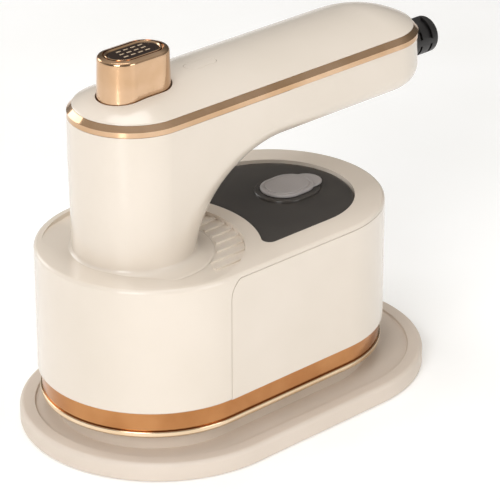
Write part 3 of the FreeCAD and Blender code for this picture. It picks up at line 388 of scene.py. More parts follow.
def grained(tree, bsdf, where, grain_mm, depth_mm, rough_low, rough_high, stretch=(1, 1, 1)):
    """Fine surface relief at a real grain size, which also varies the roughness."""
    spread = tree_node(tree, "ShaderNodeMapping", Vector=where.outputs["Object"], Scale=stretch)
    noise = tree_node(tree, "ShaderNodeTexNoise", Vector=spread.outputs[0], Scale=1 / (grain_mm * MM), Detail=4.0)
    bump = tree_node(tree, "ShaderNodeBump", Height=noise.outputs["Fac"], Distance=depth_mm * MM, Strength=1.0)
    tree.links.new(bump.outputs[0], bsdf.inputs["Normal"])
    rough = tree_node(tree, "ShaderNodeMapRange", Value=noise.outputs["Fac"], From_Min=0.3, From_Max=0.7,
                      To_Min=rough_low, To_Max=rough_high)
    tree.links.new(rough.outputs[0], bsdf.inputs["Roughness"])


def plastic(name, light, dark, rough, grain_mm, depth_mm, coat=0.0, ior=1.5):
    tree, bsdf = shader(name, IOR=ior, Coat_Weight=coat, Coat_Roughness=0.06)
    where = mottled(tree, bsdf, light, dark, 40)
    grained(tree, bsdf, where, grain_mm, depth_mm, rough[0], rough[1])


def metal(name, light, dark, rough, grain_mm, depth_mm, stretch=(1, 1, 1)):
    tree, bsdf = shader(name, Metallic=1.0)
    where = mottled(tree, bsdf, light, dark, 15)
    grained(tree, bsdf, where, grain_mm, depth_mm, rough[0], rough[1], stretch)


def make_materials(colours):
    # Injection-moulded ABS, polished tool: even cream under a hard clear gloss, barely any orange peel
    plastic("abs_cream_gloss", colours.cream, "E1D6C8", (0.20, 0.27), 6.0, 0.004, coat=0.35)
    # Glass-filled nylon tray, eroded tool: a fine matte grain
    plastic("nylon_cream_matte", colours.tray, "DACDBF", (0.45, 0.58), 0.5, 0.012)
    # Smoky copolyester lid: dark, very smooth, a strong clear highlight
    tree, bsdf = shader("copolyester_smoky", IOR=1.46)
    where = mottled(tree, bsdf, colours.smoke, "3F3B38", 30)
    grained(tree, bsdf, where, 25, 0.001, 0.10, 0.15)
    # Silicone plug and pads: soft satin, slightly dusty
    plastic("silicone_grey_satin", "ACA7A6", "A09B9A", (0.42, 0.55), 0.4, 0.006)
    plastic("silicone_warm_matte", "D9CCBE", "D0C2B3", (0.55, 0.68), 0.5, 0.008)
    # Rubber feet and seals: black with a dull bloom
    plastic("rubber_black_matte", "1B1A1A", "242322", (0.60, 0.75), 0.6, 0.010)
    # PVC strain relief: black, satin from the mould
    plastic("pvc_black_satin", "262424", "1D1B1B", (0.36, 0.48), 0.5, 0.008)
    # Vacuum-metallised champagne gold: mirror-like with a soft haze
    metal("gold_champagne_polished", colours.gold, "CBA682", (0.09, 0.14), 4.0, 0.001)
    # Anodised copper skirt: satin, drawn along its length
    metal("copper_anodised_satin", colours.copper, "AD7649", (0.13, 0.20), 0.6, 0.0015, (0.05, 0.05, 1.0))
    # Ceramic-coated soleplate: bright warm grey, hard and smooth
    metal("soleplate_polished", "EBD4B6", "E2C8A6", (0.12, 0.18), 1.5, 0.003, (0.1, 1.0, 1.0))
    # Die-cast aluminium, bare: dull and slightly rough
    metal("cast_aluminium_bare", "A5A5A6", "8F8F91", (0.45, 0.60), 0.8, 0.02)
    # Zinc-plated steel fasteners and pressings
    metal("steel_zinc_plated", "B9BBC0", "A3A5AA", (0.28, 0.42), 0.5, 0.006)
    # Heater tube, oxidised by heat
    metal("steel_heat_tinted", "7A6F69", "5F5652", (0.40, 0.55), 0.7, 0.008)
    # Phenolic moulding: black-brown, dull
    plastic("phenolic_black", "1E1B1A", "282423", (0.45, 0.60), 0.5, 0.010)
    # Acetal bearing parts: milky white, waxy
    plastic("acetal_natural", "E6E3DB", "DAD7CF", (0.35, 0.45), 1.0, 0.004)
    # Circuit board under solder mask
    plastic("solder_mask_green", "1E5A35", "184C2C", (0.25, 0.35), 0.8, 0.006, coat=0.3)
    # Clear copolyester tank wall, seen only from inside the shell
    plastic("copolyester_clear", "C9CDCF", "BFC3C6", (0.10, 0.16), 5.0, 0.003, coat=0.3)
    # Dark brown acrylic lens in the button
    plastic("acrylic_brown_gloss", "2E1C12", "24150D", (0.22, 0.30), 10.0, 0.002, ior=1.4)
    # Printed light marks on the lens
    plastic("ink_warm_white", "CDB89F", "BFA98E", (0.35, 0.45), 0.8, 0.003)


SLOT_MATERIALS = {
    "cream_gloss": "abs_cream_gloss", "tray_plastic": "nylon_cream_matte", "silicone": "silicone_warm_matte",
    "grey_silicone": "silicone_grey_satin", "rubber_black": "rubber_black_matte",
    "black_grommet": "pvc_black_satin", "soleplate_metal": "soleplate_polished",
    "cast_alloy": "cast_aluminium_bare", "element_steel": "steel_heat_tinted",
    "pressed_steel": "steel_zinc_plated", "screw_steel": "steel_zinc_plated",
    "copper_finish": "copper_anodised_satin", "rose_gold": "gold_champagne_polished",
    "phenolic": "phenolic_black", "bearing_plastic": "acetal_natural", "tank_clear": "copolyester_clear",
    "smoky_clear": "copolyester_smoky", "lens_brown": "acrylic_brown_gloss", "board_green": "solder_mask_green",
}


# ------------------------------------------------------------------ pieces
class IronOperator:
    bl_options = {"REGISTER", "UNDO"}


class IRON_OT_materials(IronOperator, bpy.types.Operator):
    """Make every finish and give it to the CAD nodes that stay in view"""
    bl_idname = "iron.materials"
    bl_label = "Finishes"

    def execute(self, context):
        make_materials(context.scene.iron_colours)
        slots = {row["node"]: row["material_slot"] for row in frame["record"]["subparts"]}
        for node, obj in frame["nodes"].items():
            obj.data.materials.clear()
            obj.data.materials.append(bpy.data.materials[SLOT_MATERIALS[slots[node]]])
        return {"FINISHED"}


class IRON_OT_tray(IronOperator, bpy.types.Operator):
    """Make the flat oval rest tray and the silicone seat that the soleplate stands on"""
    bl_idname = "iron.tray"
    bl_label = "Rest tray"

    def execute(self, context):
        radius = tray_high.y
        x1, x2 = tray_low.x + radius, tray_high.x - radius
        top = tray_high.z
        rim, dish, bend = 5.0 * MM, 1.0 * MM, 1.5 * MM
        floor = top - dish
        skirt_inner, hollow = radius - 2.5 * MM, 3.0 * MM
        profile = [(skirt_inner, hollow), (skirt_inner, 0.0)]
        profile += corner(radius - 0.5 * MM, 0.5 * MM, 0.5 * MM, -90, 0, 4)
        profile += corner(radius - bend, top - bend, bend, 0, 90, 8)
        profile += corner(radius - rim + 0.3 * MM, top - 0.3 * MM, 0.3 * MM, 90, 180, 4)
        profile += corner(radius - rim - 0.4 * MM, floor + 0.4 * MM, 0.4 * MM, 0, -90, 4)
        profile += [(12 * MM, floor)]
        tray = stack("tray", profile, x1, x2)
        soften(tray, 0)
        finish_piece(tray, "nylon_cream_matte", "tray", "tray_plastic", "rest_tray")

        seat_radius = pad_high.y
        low, high = floor - 0.2 * MM, pad_high.z
        cove = 3.0 * MM
        profile = [(seat_radius, low), (seat_radius, low + 1.0 * MM), (seat_radius - 0.6 * MM, high - cove)]
        profile += corner(seat_radius - 1.4 * MM, high - 0.8 * MM, 0.8 * MM, 0, 90, 4)
        seat = stack("seat", profile, -BODY_X, BODY_X)
        soften(seat, 0)
        finish_piece(seat, "silicone_warm_matte", "tray", "silicone", "seat_pad")
        return {"FINISHED"}


class IRON_OT_base(IronOperator, bpy.types.Operator):
    """Make the soleplate with its steam outlets, and the copper skirt above it"""
    bl_idname = "iron.base"
    bl_label = "Soleplate and skirt"

    def execute(self, context):
        radius = sole_high.y
        low, high = sole_low.z, sole_high.z
        profile = corner(radius - 0.7 * MM, low + 0.7 * MM, 0.7 * MM, -90, 0, 5)
        profile += corner(radius - 0.35 * MM, high - 0.35 * MM, 0.35 * MM, 0, 90, 4)
        plate = stack("soleplate_face", profile, -BODY_X, BODY_X)
        combine(plate, steam_hole_cutters(low, high))
        soften(plate, 0.12 * MM, 2)
        finish_piece(plate, "soleplate_polished", "iron", "soleplate_metal", "soleplate")

        radius = skirt_high.y
        low, high = skirt_low.z, skirt_high.z + 0.05 * MM
        inner = radius - 1.5 * MM
        profile = [(inner, low), (radius - 0.5 * MM, low), (radius - 0.15 * MM, low + 0.3 * MM),
                   (radius, low + 0.9 * MM), (radius, high), (inner, high)]
        skirt = stack("skirt", profile, -BODY_X, BODY_X, closed=True)
        soften(skirt, 0)
        finish_piece(skirt, "copper_anodised_satin", "iron", "copper_finish", "copper_skirt")
        return {"FINISHED"}


def steam_hole_cutters(low, high):
    """Upright pins for the soleplate's two rows of steam outlets, grown with geometry nodes."""
    tree, given = new_tree("Steam outlets", Per_row="Int", Pitch="Float", Row_distance="Float", Radius="Float",
                           Height="Float", Middle="Vector")
    gaps = tree_node(tree, "ShaderNodeMath", {"operation": "SUBTRACT"}, i0=given["Per row"], i1=1.0)
    across = tree_node(tree, "ShaderNodeMath", {"operation": "MULTIPLY"}, i0=gaps.outputs[0], i1=given["Pitch"])
    grid = tree_node(tree, "GeometryNodeMeshGrid", Size_X=across.outputs[0], Size_Y=given["Row distance"],
                     Vertices_X=given["Per row"], Vertices_Y=2)
    pin = tree_node(tree, "GeometryNodeMeshCylinder", Vertices=24, Radius=given["Radius"], Depth=given["Height"])
    placed = tree_node(tree, "GeometryNodeInstanceOnPoints", Points=grid.outputs["Mesh"],
                       Instance=pin.outputs["Mesh"])
    real = tree_node(tree, "GeometryNodeRealizeInstances", Geometry=placed.outputs["Instances"])
    moved = tree_node(tree, "GeometryNodeTransform", Geometry=real.outputs["Geometry"],
                      Translation=given["Middle"])
    end_tree(tree, moved.outputs["Geometry"])
    return grow("steam_pins", tree, Per_row=5, Pitch=10.0 * MM, Row_distance=15.0 * MM, Radius=1.6 * MM,
                Height=2 * (high - low), Middle=(0.0, 0.0, (low + high) / 2))


def lid_outline(half_width, front_arc, bend):
    """Plan of the tank lid: hollow front about the swivel, rounded horns, straight sides and a round rear end."""
    inset = half_width - bend
    x = SWIVEL_X + sqrt((front_arc + bend) ** 2 - inset ** 2)
    turn = atan2(inset, x - SWIVEL_X)
    points = arc_points(BODY_X, 0, half_width, -pi / 2, pi / 2, ARC)
    points += arc_points(x, inset, bend, pi / 2, pi + turn, 10)
    points += arc_points(SWIVEL_X, 0, front_arc, turn, -turn, ARC)[1:-1]
    points += arc_points(x, -inset, bend, pi - turn, 3 * pi / 2, 10)
    return points


def panel_cutter(edge, bend, top, low):
    """Side view of the rear panel, pulled through the body along Y."""
    outline = [(edge, low)]
    outline += [(edge + bend + bend * cos(turn), top - bend + bend * sin(turn))
                for turn in (pi - pi / 2 * step / 12 for step in range(13))]
    outline += [(CUT_FAR, top), (CUT_FAR, low)]
    return loft("panel_cutter", [[Vector((x, y, z)) for x, z in outline] for y in (-CUT_SIDE, CUT_SIDE)])


def wall_ring(name, inner, outer, low, high):
    """An upright wall of even thickness that follows the body's outline."""
    profile = [(inner, low), (outer, low), (outer, high), (inner, high)]
    return stack(name, profile, -BODY_X, BODY_X, closed=True)


class IRON_OT_body(IronOperator, bpy.types.Operator):
    """Make the front shell with its deck, the rear panel, and the deck's ribbed recess"""
    bl_idname = "iron.body"
    bl_label = "Body shells"

    def execute(self, context):
        shape = context.scene.iron_shape
        wall = 2.2 * MM
        low = shell_low.z
        bend = 1.3 * MM
        profile = [(BODY_R - wall, low), (BODY_R - 0.3 * MM, low), (BODY_R, low + 0.3 * MM)]
        profile += corner(BODY_R - bend, DECK_Z - bend, bend, 0, 90, 8)
        profile += [(16 * MM, DECK_Z), (16 * MM, DECK_Z - DECK_THICK), (BODY_R - wall, DECK_Z - DECK_THICK)]
        shell = stack("front_body", profile, -BODY_X, BODY_X, closed=True)
        filled_deck(shell)
        panel_x = rear_low.x - 0.2 * MM
        panel_top = rear_high.z + 0.2 * MM
        bend = 7.5 * MM
        cut = wall_ring("panel_ring", BODY_R - wall - 0.05 * MM, BODY_R + 2 * MM, low - 5 * MM, panel_top)
        combine(cut, panel_cutter(panel_x, bend, panel_top + 1 * MM, low - 9 * MM), "INTERSECT")
        combine(shell, cut)
        cut_deck(shell, shape)
        soften(shell, 0.22 * MM, 2, 32)
        finish_piece(shell, "abs_cream_gloss", "iron", "cream_gloss", "front_shell")

        gap = shape.panel_gap
        panel = wall_ring("rear_body", BODY_R - wall, BODY_R, low, panel_top - gap)
        combine(panel, panel_cutter(panel_x + gap, bend, panel_top - gap + 1 * MM, low - 9 * MM), "INTERSECT")
        soften(panel, 0.22 * MM, 2, 32)
        finish_piece(panel, "abs_cream_gloss", "iron", "cream_gloss", "rear_shell")
        make_ribs(shape)
        return {"FINISHED"}


def filled_deck(shell):
    """Close the hole that the deck's profile leaves in its middle."""
    middle = slot_prism("deck_middle", -BODY_X, BODY_X, 16.5 * MM, DECK_Z - DECK_THICK, DECK_Z)
    combine(shell, middle, "UNION")


def cut_deck(shell, shape):
    """Sink the tank lid's opening and the recess round the swivel column into the deck."""
    gap = 0.35 * MM
    plan = lid_outline(lid_high.y + gap, LID_FRONT_ARC - gap, 2.6 * MM)
    combine(shell, prism("lid_hole", plan, DECK_Z - 9 * MM, DECK_Z + 5 * MM))
    depth = shape.recess_depth
    # The recess is where a circle about the swivel meets one set in from the body's round end
    rear = RECESS_R
    inner = BODY_R - 2.5 * MM
    apart = -BODY_X - SWIVEL_X
    x = (rear ** 2 - inner ** 2 + apart ** 2) / (2 * apart)
    y = sqrt(rear ** 2 - x ** 2)
    turn = atan2(y, x)
    lens = arc_points(SWIVEL_X, 0, rear, -turn, turn, ARC)
    turn = atan2(y, x - apart)
    lens += arc_points(-BODY_X, 0, inner, turn, 2 * pi - turn, 2 * ARC)[1:-1]
    recess = prism("recess", lens, DECK_Z - 4 * MM, DECK_Z + 4 * MM)
    front_x, level_x = -52 * MM, -36 * MM      # the floor slopes down between these
    far, across = 80 * MM, 50 * MM
    side = [(-far, DECK_Z + 6 * MM), (-far, DECK_Z + 0.5 * MM), (front_x, DECK_Z), (level_x, DECK_Z - depth),
            (far, DECK_Z - depth), (far, DECK_Z + 6 * MM)]
    slope = loft("recess_floor", [[Vector((px, py, pz)) for px, pz in side] for py in (-across, across)])
    combine(recess, slope, "INTERSECT")
    combine(shell, recess)


def make_ribs(shape):
    """Grip ribs along X on the recess floor, grown as a row of bars and trimmed to the recess."""
    count = 13
    pitch = shape.rib_pitch
    floor = DECK_Z - shape.recess_depth
    height = 0.6 * MM
    ribs = grow("deck_ribs", row_tree(), Count=count, Start=(SWIVEL_X + 15 * MM, -pitch * (count - 1) / 2, floor),
                Step=(0.0, pitch, 0.0), Bar=(50 * MM, 1.3 * MM, 2 * height))
    sweep = radians(72)
    plan = arc_points(SWIVEL_X, 0, RECESS_R - 0.25 * MM, -sweep, sweep, 2 * ARC)
    plan += arc_points(SWIVEL_X, 0, 26.0 * MM, sweep, -sweep, 2 * ARC)
    combine(ribs, prism("rib_bounds", plan, floor - 0.3 * MM, floor + 3 * MM), "INTERSECT")
    soften(ribs, 0.45 * MM, 3)
    finish_piece(ribs, "abs_cream_gloss", "iron", "cream_gloss")


class IRON_OT_tank(IronOperator, bpy.types.Operator):
    """Make the smoky tank lid, the filler's collar and its grey plug"""
    bl_idname = "iron.tank"
    bl_label = "Tank lid and filler"

    def execute(self, context):
        plan = lid_outline(lid_high.y, LID_FRONT_ARC, 3.0 * MM)
        lid = prism("tank_lid", plan, lid_low.z, lid_high.z + 0.5 * MM)
        radius = (collar_high.y - collar_low.y) / 2
        x1, x2, hole = collar_low.x + radius, collar_high.x - radius, 6.0 * MM
        combine(lid, slot_prism("filler_hole", x1, x2, hole, lid_low.z - 1 * MM, lid_high.z + 1 * MM))
        soften(lid, 0.4 * MM, 3)
        finish_piece(lid, "copolyester_smoky", "iron", "smoky_clear", "tank_window")

        top = collar_high.z + 0.4 * MM
        profile = [(hole - 1.1 * MM, lid_low.z), (hole - 0.1 * MM, lid_low.z), (hole - 0.1 * MM, lid_high.z),
                   (radius, lid_high.z)]
        profile += corner(radius - 0.5 * MM, top - 0.5 * MM, 0.5 * MM, 0, 90, 5)
        profile += [(hole - 1.1 * MM, top)]
        collar = stack("filler_rim", profile, x1, x2, closed=True)
        soften(collar, 0)
        finish_piece(collar, "copolyester_smoky", "iron", "smoky_clear", "filler_collar")
        make_plug(x1, x2)
        return {"FINISHED"}


def make_plug(x1, x2):
    """Soft plug: a crowned oval head with an engraved ring, a pull tab and a stem in the neck."""
    radius = 7.5 * MM
    low, high = collar_high.z + 0.45 * MM, plug_high.z + 0.4 * MM
    stem = 4.5 * MM
    profile = corner(stem - 0.5 * MM, plug_low.z + 0.5 * MM, 0.5 * MM, -90, 0, 3) + [(stem, low)]
    profile += corner(radius - 0.4 * MM, low + 0.4 * MM, 0.4 * MM, -90, 0, 4)
    profile += corner(radius - 0.55 * MM, high - 0.55 * MM, 0.55 * MM, 0, 90, 5)
    profile += [(6.35 * MM, high + 0.03 * MM), (6.2 * MM, high - 0.22 * MM), (5.85 * MM, high - 0.22 * MM),
                (5.7 * MM, high + 0.05 * MM), (2.0 * MM, high + 0.12 * MM)]
    plug = stack("plug", profile, x1, x2)
    tab_radius = 5.3 * MM
    tab_profile = corner(tab_radius - 0.4 * MM, low + 0.47 * MM, 0.4 * MM, -90, 0, 3)
    tab_profile += corner(tab_radius - 0.5 * MM, high - 0.87 * MM, 0.5 * MM, 0, 90, 4)
    tab = stack("plug_tab", tab_profile, x2 - 0.7 * MM, plug_high.x - tab_radius, -0.9 * MM)
    plug = join("plug", [plug, tab])
    soften(plug, 0)
    finish_piece(plug, "silicone_grey_satin", "plug", "grey_silicone", "filler_plug")


def handle_section(bend):
    """Half of the handle's lower outline as (distance from the blend's edge, half width), middle to side."""
    flat = HANDLE_R - bend
    points = [(0.0, flat * step / FLAT_STEPS) for step in range(FLAT_STEPS)]
    for step in range(CORNER_STEPS + 1):
        turn = pi / 2 * step / CORNER_STEPS
        points.append((bend * (1 - cos(turn)), flat + bend * sin(turn)))
    return points


class IRON_OT_handle(IronOperator, bpy.types.Operator):
    """Make the handle and its round column as one moulding, the gold band and the domed cap"""
    bl_idname = "iron.handle"
    bl_label = "Handle"

    def execute(self, context):
        shape = context.scene.iron_shape
        shell = handle_skin(shape)
        floor = 94.4 * MM
        combine(shell, slot_prism("handle_hollow", SWIVEL_X, HANDLE_X, 17.7 * MM, floor, band_low.z + 5 * MM))
        shaft_bore = circle_points(SWIVEL_X, 11.1 * MM, 48)
        combine(shell, prism("column_bore", shaft_bore, column_low.z - 5 * MM, 96 * MM))
        for x in (26 * MM, 60 * MM):
            combine(shell, prism("screw_well", circle_points(x, 3.0 * MM, 32), 90 * MM, 95.5 * MM))
        soften(shell, 0.2 * MM, 2, 40)
        finish_piece(shell, "abs_cream_gloss", "handle", "cream_gloss", "handle_shell")
        make_band()
        make_cap(shape)
        return {"FINISHED"}


def handle_skin(shape):
    """Rings turn about the blend's centre from the level column to the upright handle, then run rearward."""
    under = 92.0 * MM
    blend = shape.handle_blend
    pivot_x = SWIVEL_X + HANDLE_R + blend
    pivot_z = under - blend
    top = band_low.z
    reach = top + 12 * MM
    rings = []
    for radius, level in column_levels():
        rings.append([Vector((SWIVEL_X + radius * cos(t), radius * sin(t), level)) for t in ring_turns()])
    steps = 44
    for step in range(steps + 1):
        turn = pi / 2 * step / steps
        ease = sin(turn) ** 1.2
        radius = HANDLE_R + (shape.handle_round - HANDLE_R) * ease
        rings.append(elbow_ring(turn, radius, pivot_x, pivot_z, blend, reach))
    for step in range(1, 13):
        x = pivot_x + (HANDLE_X - pivot_x) * step / 12
        rings.append(upright_ring(x, 0.0, shape, under, reach))
    for step in range(1, ARC // 2 + 1):
        rings.append(upright_ring(HANDLE_X, pi / 2 * step / (ARC // 2), shape, under, reach))
    skin = loft("handle_body", rings)
    trim_top(skin, top)
    return skin


def ring_turns():
    """Angles round the column that pair with the handle's outline points."""
    inner_steps = FLAT_STEPS + CORNER_STEPS
    inner = [step / inner_steps * pi / 2 for step in range(inner_steps)]
    side = [pi / 2 + step / WALL_STEPS * pi / 2 for step in range(WALL_STEPS + 1)]
    half = inner + side
    return half + [2 * pi - turn for turn in reversed(half[1:-1])]


def column_levels():
    """(radius, height) of the column below the blend: a flange, a soft cove and a slight taper."""
    low = column_low.z
    foot = 19.6 * MM
    cove, rise = 5.0 * MM, 2.2 * MM
    flange = 25.4 * MM
    levels = [(flange - 0.5 * MM, low - 0.28 * MM), (flange, low - 0.2 * MM), (flange - 0.3 * MM, low)]
    levels += [(foot + cove - cove * sin(turn), low + 0.1 * MM + rise * (1 - cos(turn)))
               for turn in (pi / 2 * step / 10 for step in range(11))]
    return levels


def taper(point, under):
    """The column narrows a little towards its foot."""
    if point.z >= under:
        return point
    share = 1 - 0.028 * min(1.0, (under - point.z) / (30 * MM))
    return Vector((SWIVEL_X + (point.x - SWIVEL_X) * share, point.y * share, point.z))


def elbow_ring(turn, radius, pivot_x, pivot_z, blend, reach):
    """One ring of the bend: rounded at its hollow side, and cut by the round front wall outside."""
    half = []
    for offset, y in handle_section(radius):
        half.append(Vector((pivot_x - (blend + offset) * cos(turn), y, pivot_z + (blend + offset) * sin(turn))))
    for step in range(1, WALL_STEPS + 1):
        around = pi / 2 * (1 - step / WALL_STEPS)
        x = SWIVEL_X - HANDLE_R * cos(around)
        y = HANDLE_R * sin(around)
        away = (pivot_x - x) / max(cos(turn), 1e-6)
        limit = (reach - pivot_z) / max(sin(turn), 1e-6)
        away = min(away, limit)
        half.append(Vector((pivot_x - away * cos(turn), y, pivot_z + away * sin(turn))))
    under = pivot_z + blend
    ring = half + [Vector((p.x, -p.y, p.z)) for p in reversed(half[1:-1])]
    return [taper(p, under) for p in ring]


def upright_ring(x, spin, shape, under, reach):
    """One upright ring of the handle, or of its round rear end when it is spun about the end's axis."""
    half = [(y, under + offset) for offset, y in handle_section(shape.handle_round)]
    for step in range(1, WALL_STEPS + 1):
        half.append((HANDLE_R * (1 - step / WALL_STEPS), reach))
    points = [Vector((x + y * sin(spin), y * cos(spin), z)) for y, z in half]
    other = [Vector((x + y * sin(spin), -y * cos(spin), z)) for y, z in half]
    return points + list(reversed(other[1:-1]))


def trim_top(obj, height):
    """Cut the mesh level at a height and close it there."""
    bm = bmesh.new()
    bm.from_mesh(obj.data)
    bmesh.ops.remove_doubles(bm, verts=bm.verts, dist=1e-6)
    bmesh.ops.dissolve_degenerate(bm, edges=bm.edges, dist=1e-7)
    geometry = list(bm.verts) + list(bm.edges) + list(bm.faces)
    bmesh.ops.bisect_plane(bm, geom=geometry, plane_co=(0, 0, height), plane_no=(0, 0, 1), clear_outer=True)
    bmesh.ops.remove_doubles(bm, verts=bm.verts, dist=1e-6)
    rim = [edge for edge in bm.edges if edge.is_boundary]
    bmesh.ops.contextual_create(bm, geom=rim)
    bmesh.ops.recalc_face_normals(bm, faces=bm.faces)
    bm.to_mesh(obj.data)
    bm.free()


def make_band():
    """Polished trim: an upright facet and a sloping one, with thin bright edges."""
    low, high = band_low.z, band_high.z
    edge = 0.18 * MM
    facet = 2.0 * MM
    top_radius = HANDLE_R - 1.65 * MM
    inner = 17.0 * MM
    profile = [(inner, low), (HANDLE_R - edge, low), (HANDLE_R, low + edge), (HANDLE_R, low + facet - edge),
               (HANDLE_R - edge * 0.8, low + facet), (top_radius + edge, high - edge), (top_radius, high),
               (inner, high)]
    band = stack("gold_band", profile, SWIVEL_X, HANDLE_X, closed=True)
    soften(band, 0, angle=20)
    finish_piece(band, "gold_champagne_polished", "handle", "rose_gold", "handle_band")


def dome_profile(rise, rows=16):
    """(radius, height) of the cap's dome from its edge to the middle line."""
    edge = cap_high.y
    low = band_high.z
    lip = 0.5 * MM
    ball = ((edge - lip) ** 2 + rise ** 2) / (2 * rise)
    profile = [(edge - 0.05 * MM, low + 0.02 * MM), (edge, low + 0.15 * MM)]
    profile += [(edge - lip * 0.2, low + lip * 0.75), (edge - lip * 0.6, low + lip * 1.15)]
    start = low + lip * 1.3
    for step in range(rows + 1):
        radius = (edge - lip) * (1 - step / rows)
        profile.append((radius, start + sqrt(ball ** 2 - radius ** 2) - (ball - rise)))
    return profile


def make_cap(shape):
    """Domed cap with clearances round the steam button and the power key, and the key itself."""
    outer = dome_profile(shape.cap_crown)
    cap = stack("handle_top", outer, SWIVEL_X, HANDLE_X)
    combine(cap, slot_prism("cap_hollow", SWIVEL_X, HANDLE_X, 14.0 * MM, band_high.z - 2 * MM, CAP_UNDER))
    x1, x2, radius = slot_of(button_low, button_high, BUTTON_FLANGE)
    combine(cap, slot_prism("button_hole", x1, x2, radius + 0.35 * MM, band_high.z, DECK_Z + 80 * MM))
    x1, x2, radius = slot_of(key_low, key_high, KEY_FLANGE)
    key = slot_prism("key_top", x1, x2, radius, CAP_UNDER - 1.0 * MM, cap_high.z + 3 * MM)
    combine(cap, slot_prism("key_hole", x1, x2, radius + 0.11 * MM, band_high.z, cap_high.z + 9 * MM))
    combine(key, stack("key_dome", outer, SWIVEL_X, HANDLE_X), "INTERSECT")
    soften(cap, 0.04 * MM, 1, 40)
    finish_piece(cap, "abs_cream_gloss", "handle", "cream_gloss", "handle_cap")
    soften(key, 0.03 * MM, 1, 40)
    finish_piece(key, "abs_cream_gloss", "key", "cream_gloss", "power_key")


def slot_of(low, high, flange):
    """End centres and radius of a slot-shaped piece whose box includes a flange."""
    radius = (high.y - low.y) / 2 - flange
    return low.x + flange + radius, high.x - flange - radius, radius


class IRON_OT_button(IronOperator, bpy.types.Operator):
    """Make the gold steam button, its dark lens and the lens's row marks"""
    bl_idname = "iron.button"
    bl_label = "Steam button"

    def execute(self, context):
        x1, x2, radius = slot_of(button_low, button_high, BUTTON_FLANGE)
        top = button_high.z
        crown = radius - 0.38 * MM
        lens = (lens_high.y - lens_low.y) / 2
        base = button_low.z
        profile = [(radius - 1.7 * MM, base), (radius + 1.2 * MM, base), (radius + 1.2 * MM, base + 1.0 * MM),
                   (radius, base + 1.0 * MM), (crown, top - 1.6 * MM)]
        profile += corner(crown - 1.1 * MM, top - 1.4 * MM, 1.1 * MM, 12, 62, 6)
        profile += [(5.8 * MM, top - 0.12 * MM), (5.7 * MM, top - 0.9 * MM), (5.3 * MM, top - 0.9 * MM),
                    (5.2 * MM, top - 0.12 * MM), (5.05 * MM, top), (4.7 * MM, top), (4.5 * MM, top - 0.15 * MM),
                    (lens + 0.08 * MM, top - 0.45 * MM), (lens + 0.08 * MM, top - 2.6 * MM),
                    (radius - 1.7 * MM, top - 2.6 * MM)]
        button = stack("button_body", profile, x1, x2, closed=True)
        soften(button, 0, angle=24)
        finish_piece(button, "gold_champagne_polished", "button", "rose_gold", "steam_button")

        low = top - 1.4 * MM
        high = top - 0.3 * MM
        profile = [(lens, low), (lens, high - 0.15 * MM), (lens - 0.15 * MM, high), (lens * 0.5, high + 0.08 * MM)]
        glass = stack("button_glass", profile, x1, x2)
        soften(glass, 0)
        finish_piece(glass, "acrylic_brown_gloss", "button", "lens_brown", "button_lens")
        make_marks(x1, x2, high)
        make_return_spring()
        return {"FINISHED"}


def make_return_spring():
    """Coil spring under the steam button, made at one fixed length between the ends of its box; the real one
    shortens as the button goes down.
    """
    low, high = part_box("button_spring")
    wire = 0.4 * MM
    coil = (high.y - low.y) / 2 - wire
    middle = (low.x + high.x) / 2
    turns, steps = 5, 28
    bottom, top = low.z + wire, high.z - wire
    rings = []
    for step in range(turns * steps + 1):
        around = 2 * pi * step / steps
        out = Vector((cos(around), sin(around), 0))
        centre = Vector((middle, 0, bottom + (top - bottom) * step / (turns * steps))) + out * coil
        rings.append([centre + wire * (out * cos(turn) + Vector((0, 0, 1)) * sin(turn))
                      for turn in (2 * pi * side / 10 for side in range(10))])
    spring = loft("return_spring", rings)
    soften(spring, 0)
    finish_piece(spring, "steel_zinc_plated", "handle", "screw_steel", "button_spring")
    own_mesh(spring)


def make_marks(x1, x2, height):
    """Three staggered rows of short light dashes, grown as rows of bars."""
    tree = row_tree()
    middle = (x1 + x2) / 2
    rows = []
    for number, (y, count, shift) in enumerate(((2.25, 4, 0.4 * MM), (0.0, 4, -0.2 * MM), (-2.25, 4, -0.4 * MM))):
        pitch = 2.9 * MM
        start = middle - pitch * (count - 1) / 2 + shift
        rows.append(grow(f"mark_row_{number}", tree, Count=count, Start=(start, y * MM, height + 0.06 * MM),
                         Step=(pitch, 0.0, 0.0), Bar=(1.8 * MM, 0.6 * MM, 0.12 * MM)))
    marks = join("button_marks", rows)
    soften(marks, 0.05 * MM, 2)
    finish_piece(marks, "ink_warm_white", "button", "cream_gloss")


class IRON_OT_cord_end(IronOperator, bpy.types.Operator):
    """Make the slotted strain relief where the cord leaves the handle"""
    bl_idname = "iron.cord_end"
    bl_label = "Strain relief"

    def execute(self, context):
        radius = (relief_high.z - relief_low.z) / 2
        middle = (relief_high.z + relief_low.z) / 2
        end = relief_high.x
        start = band_high.x - 1.6 * MM
        bore = 3.0 * MM
        edge = 1.0 * MM
        profile = [(start - 4 * MM, bore), (start - 4 * MM, 4.4 * MM), (start, 4.4 * MM), (start, radius)]
        profile += [(end - edge + edge * sin(t), radius - edge + edge * cos(t))
                    for t in (pi / 2 * step / 6 for step in range(7))]
        profile += [(end, bore + 0.4 * MM), (end - 0.4 * MM, bore)]
        sleeve = turned("cord_sleeve", profile, middle)
        for back in (8.4 * MM, 3.6 * MM):
            combine(sleeve, slot_cutter(end - back, middle, radius))
        soften(sleeve, 0.12 * MM, 2)
        finish_piece(sleeve, "pvc_black_satin", "handle", "black_grommet", "strain_relief")
        return {"FINISHED"}


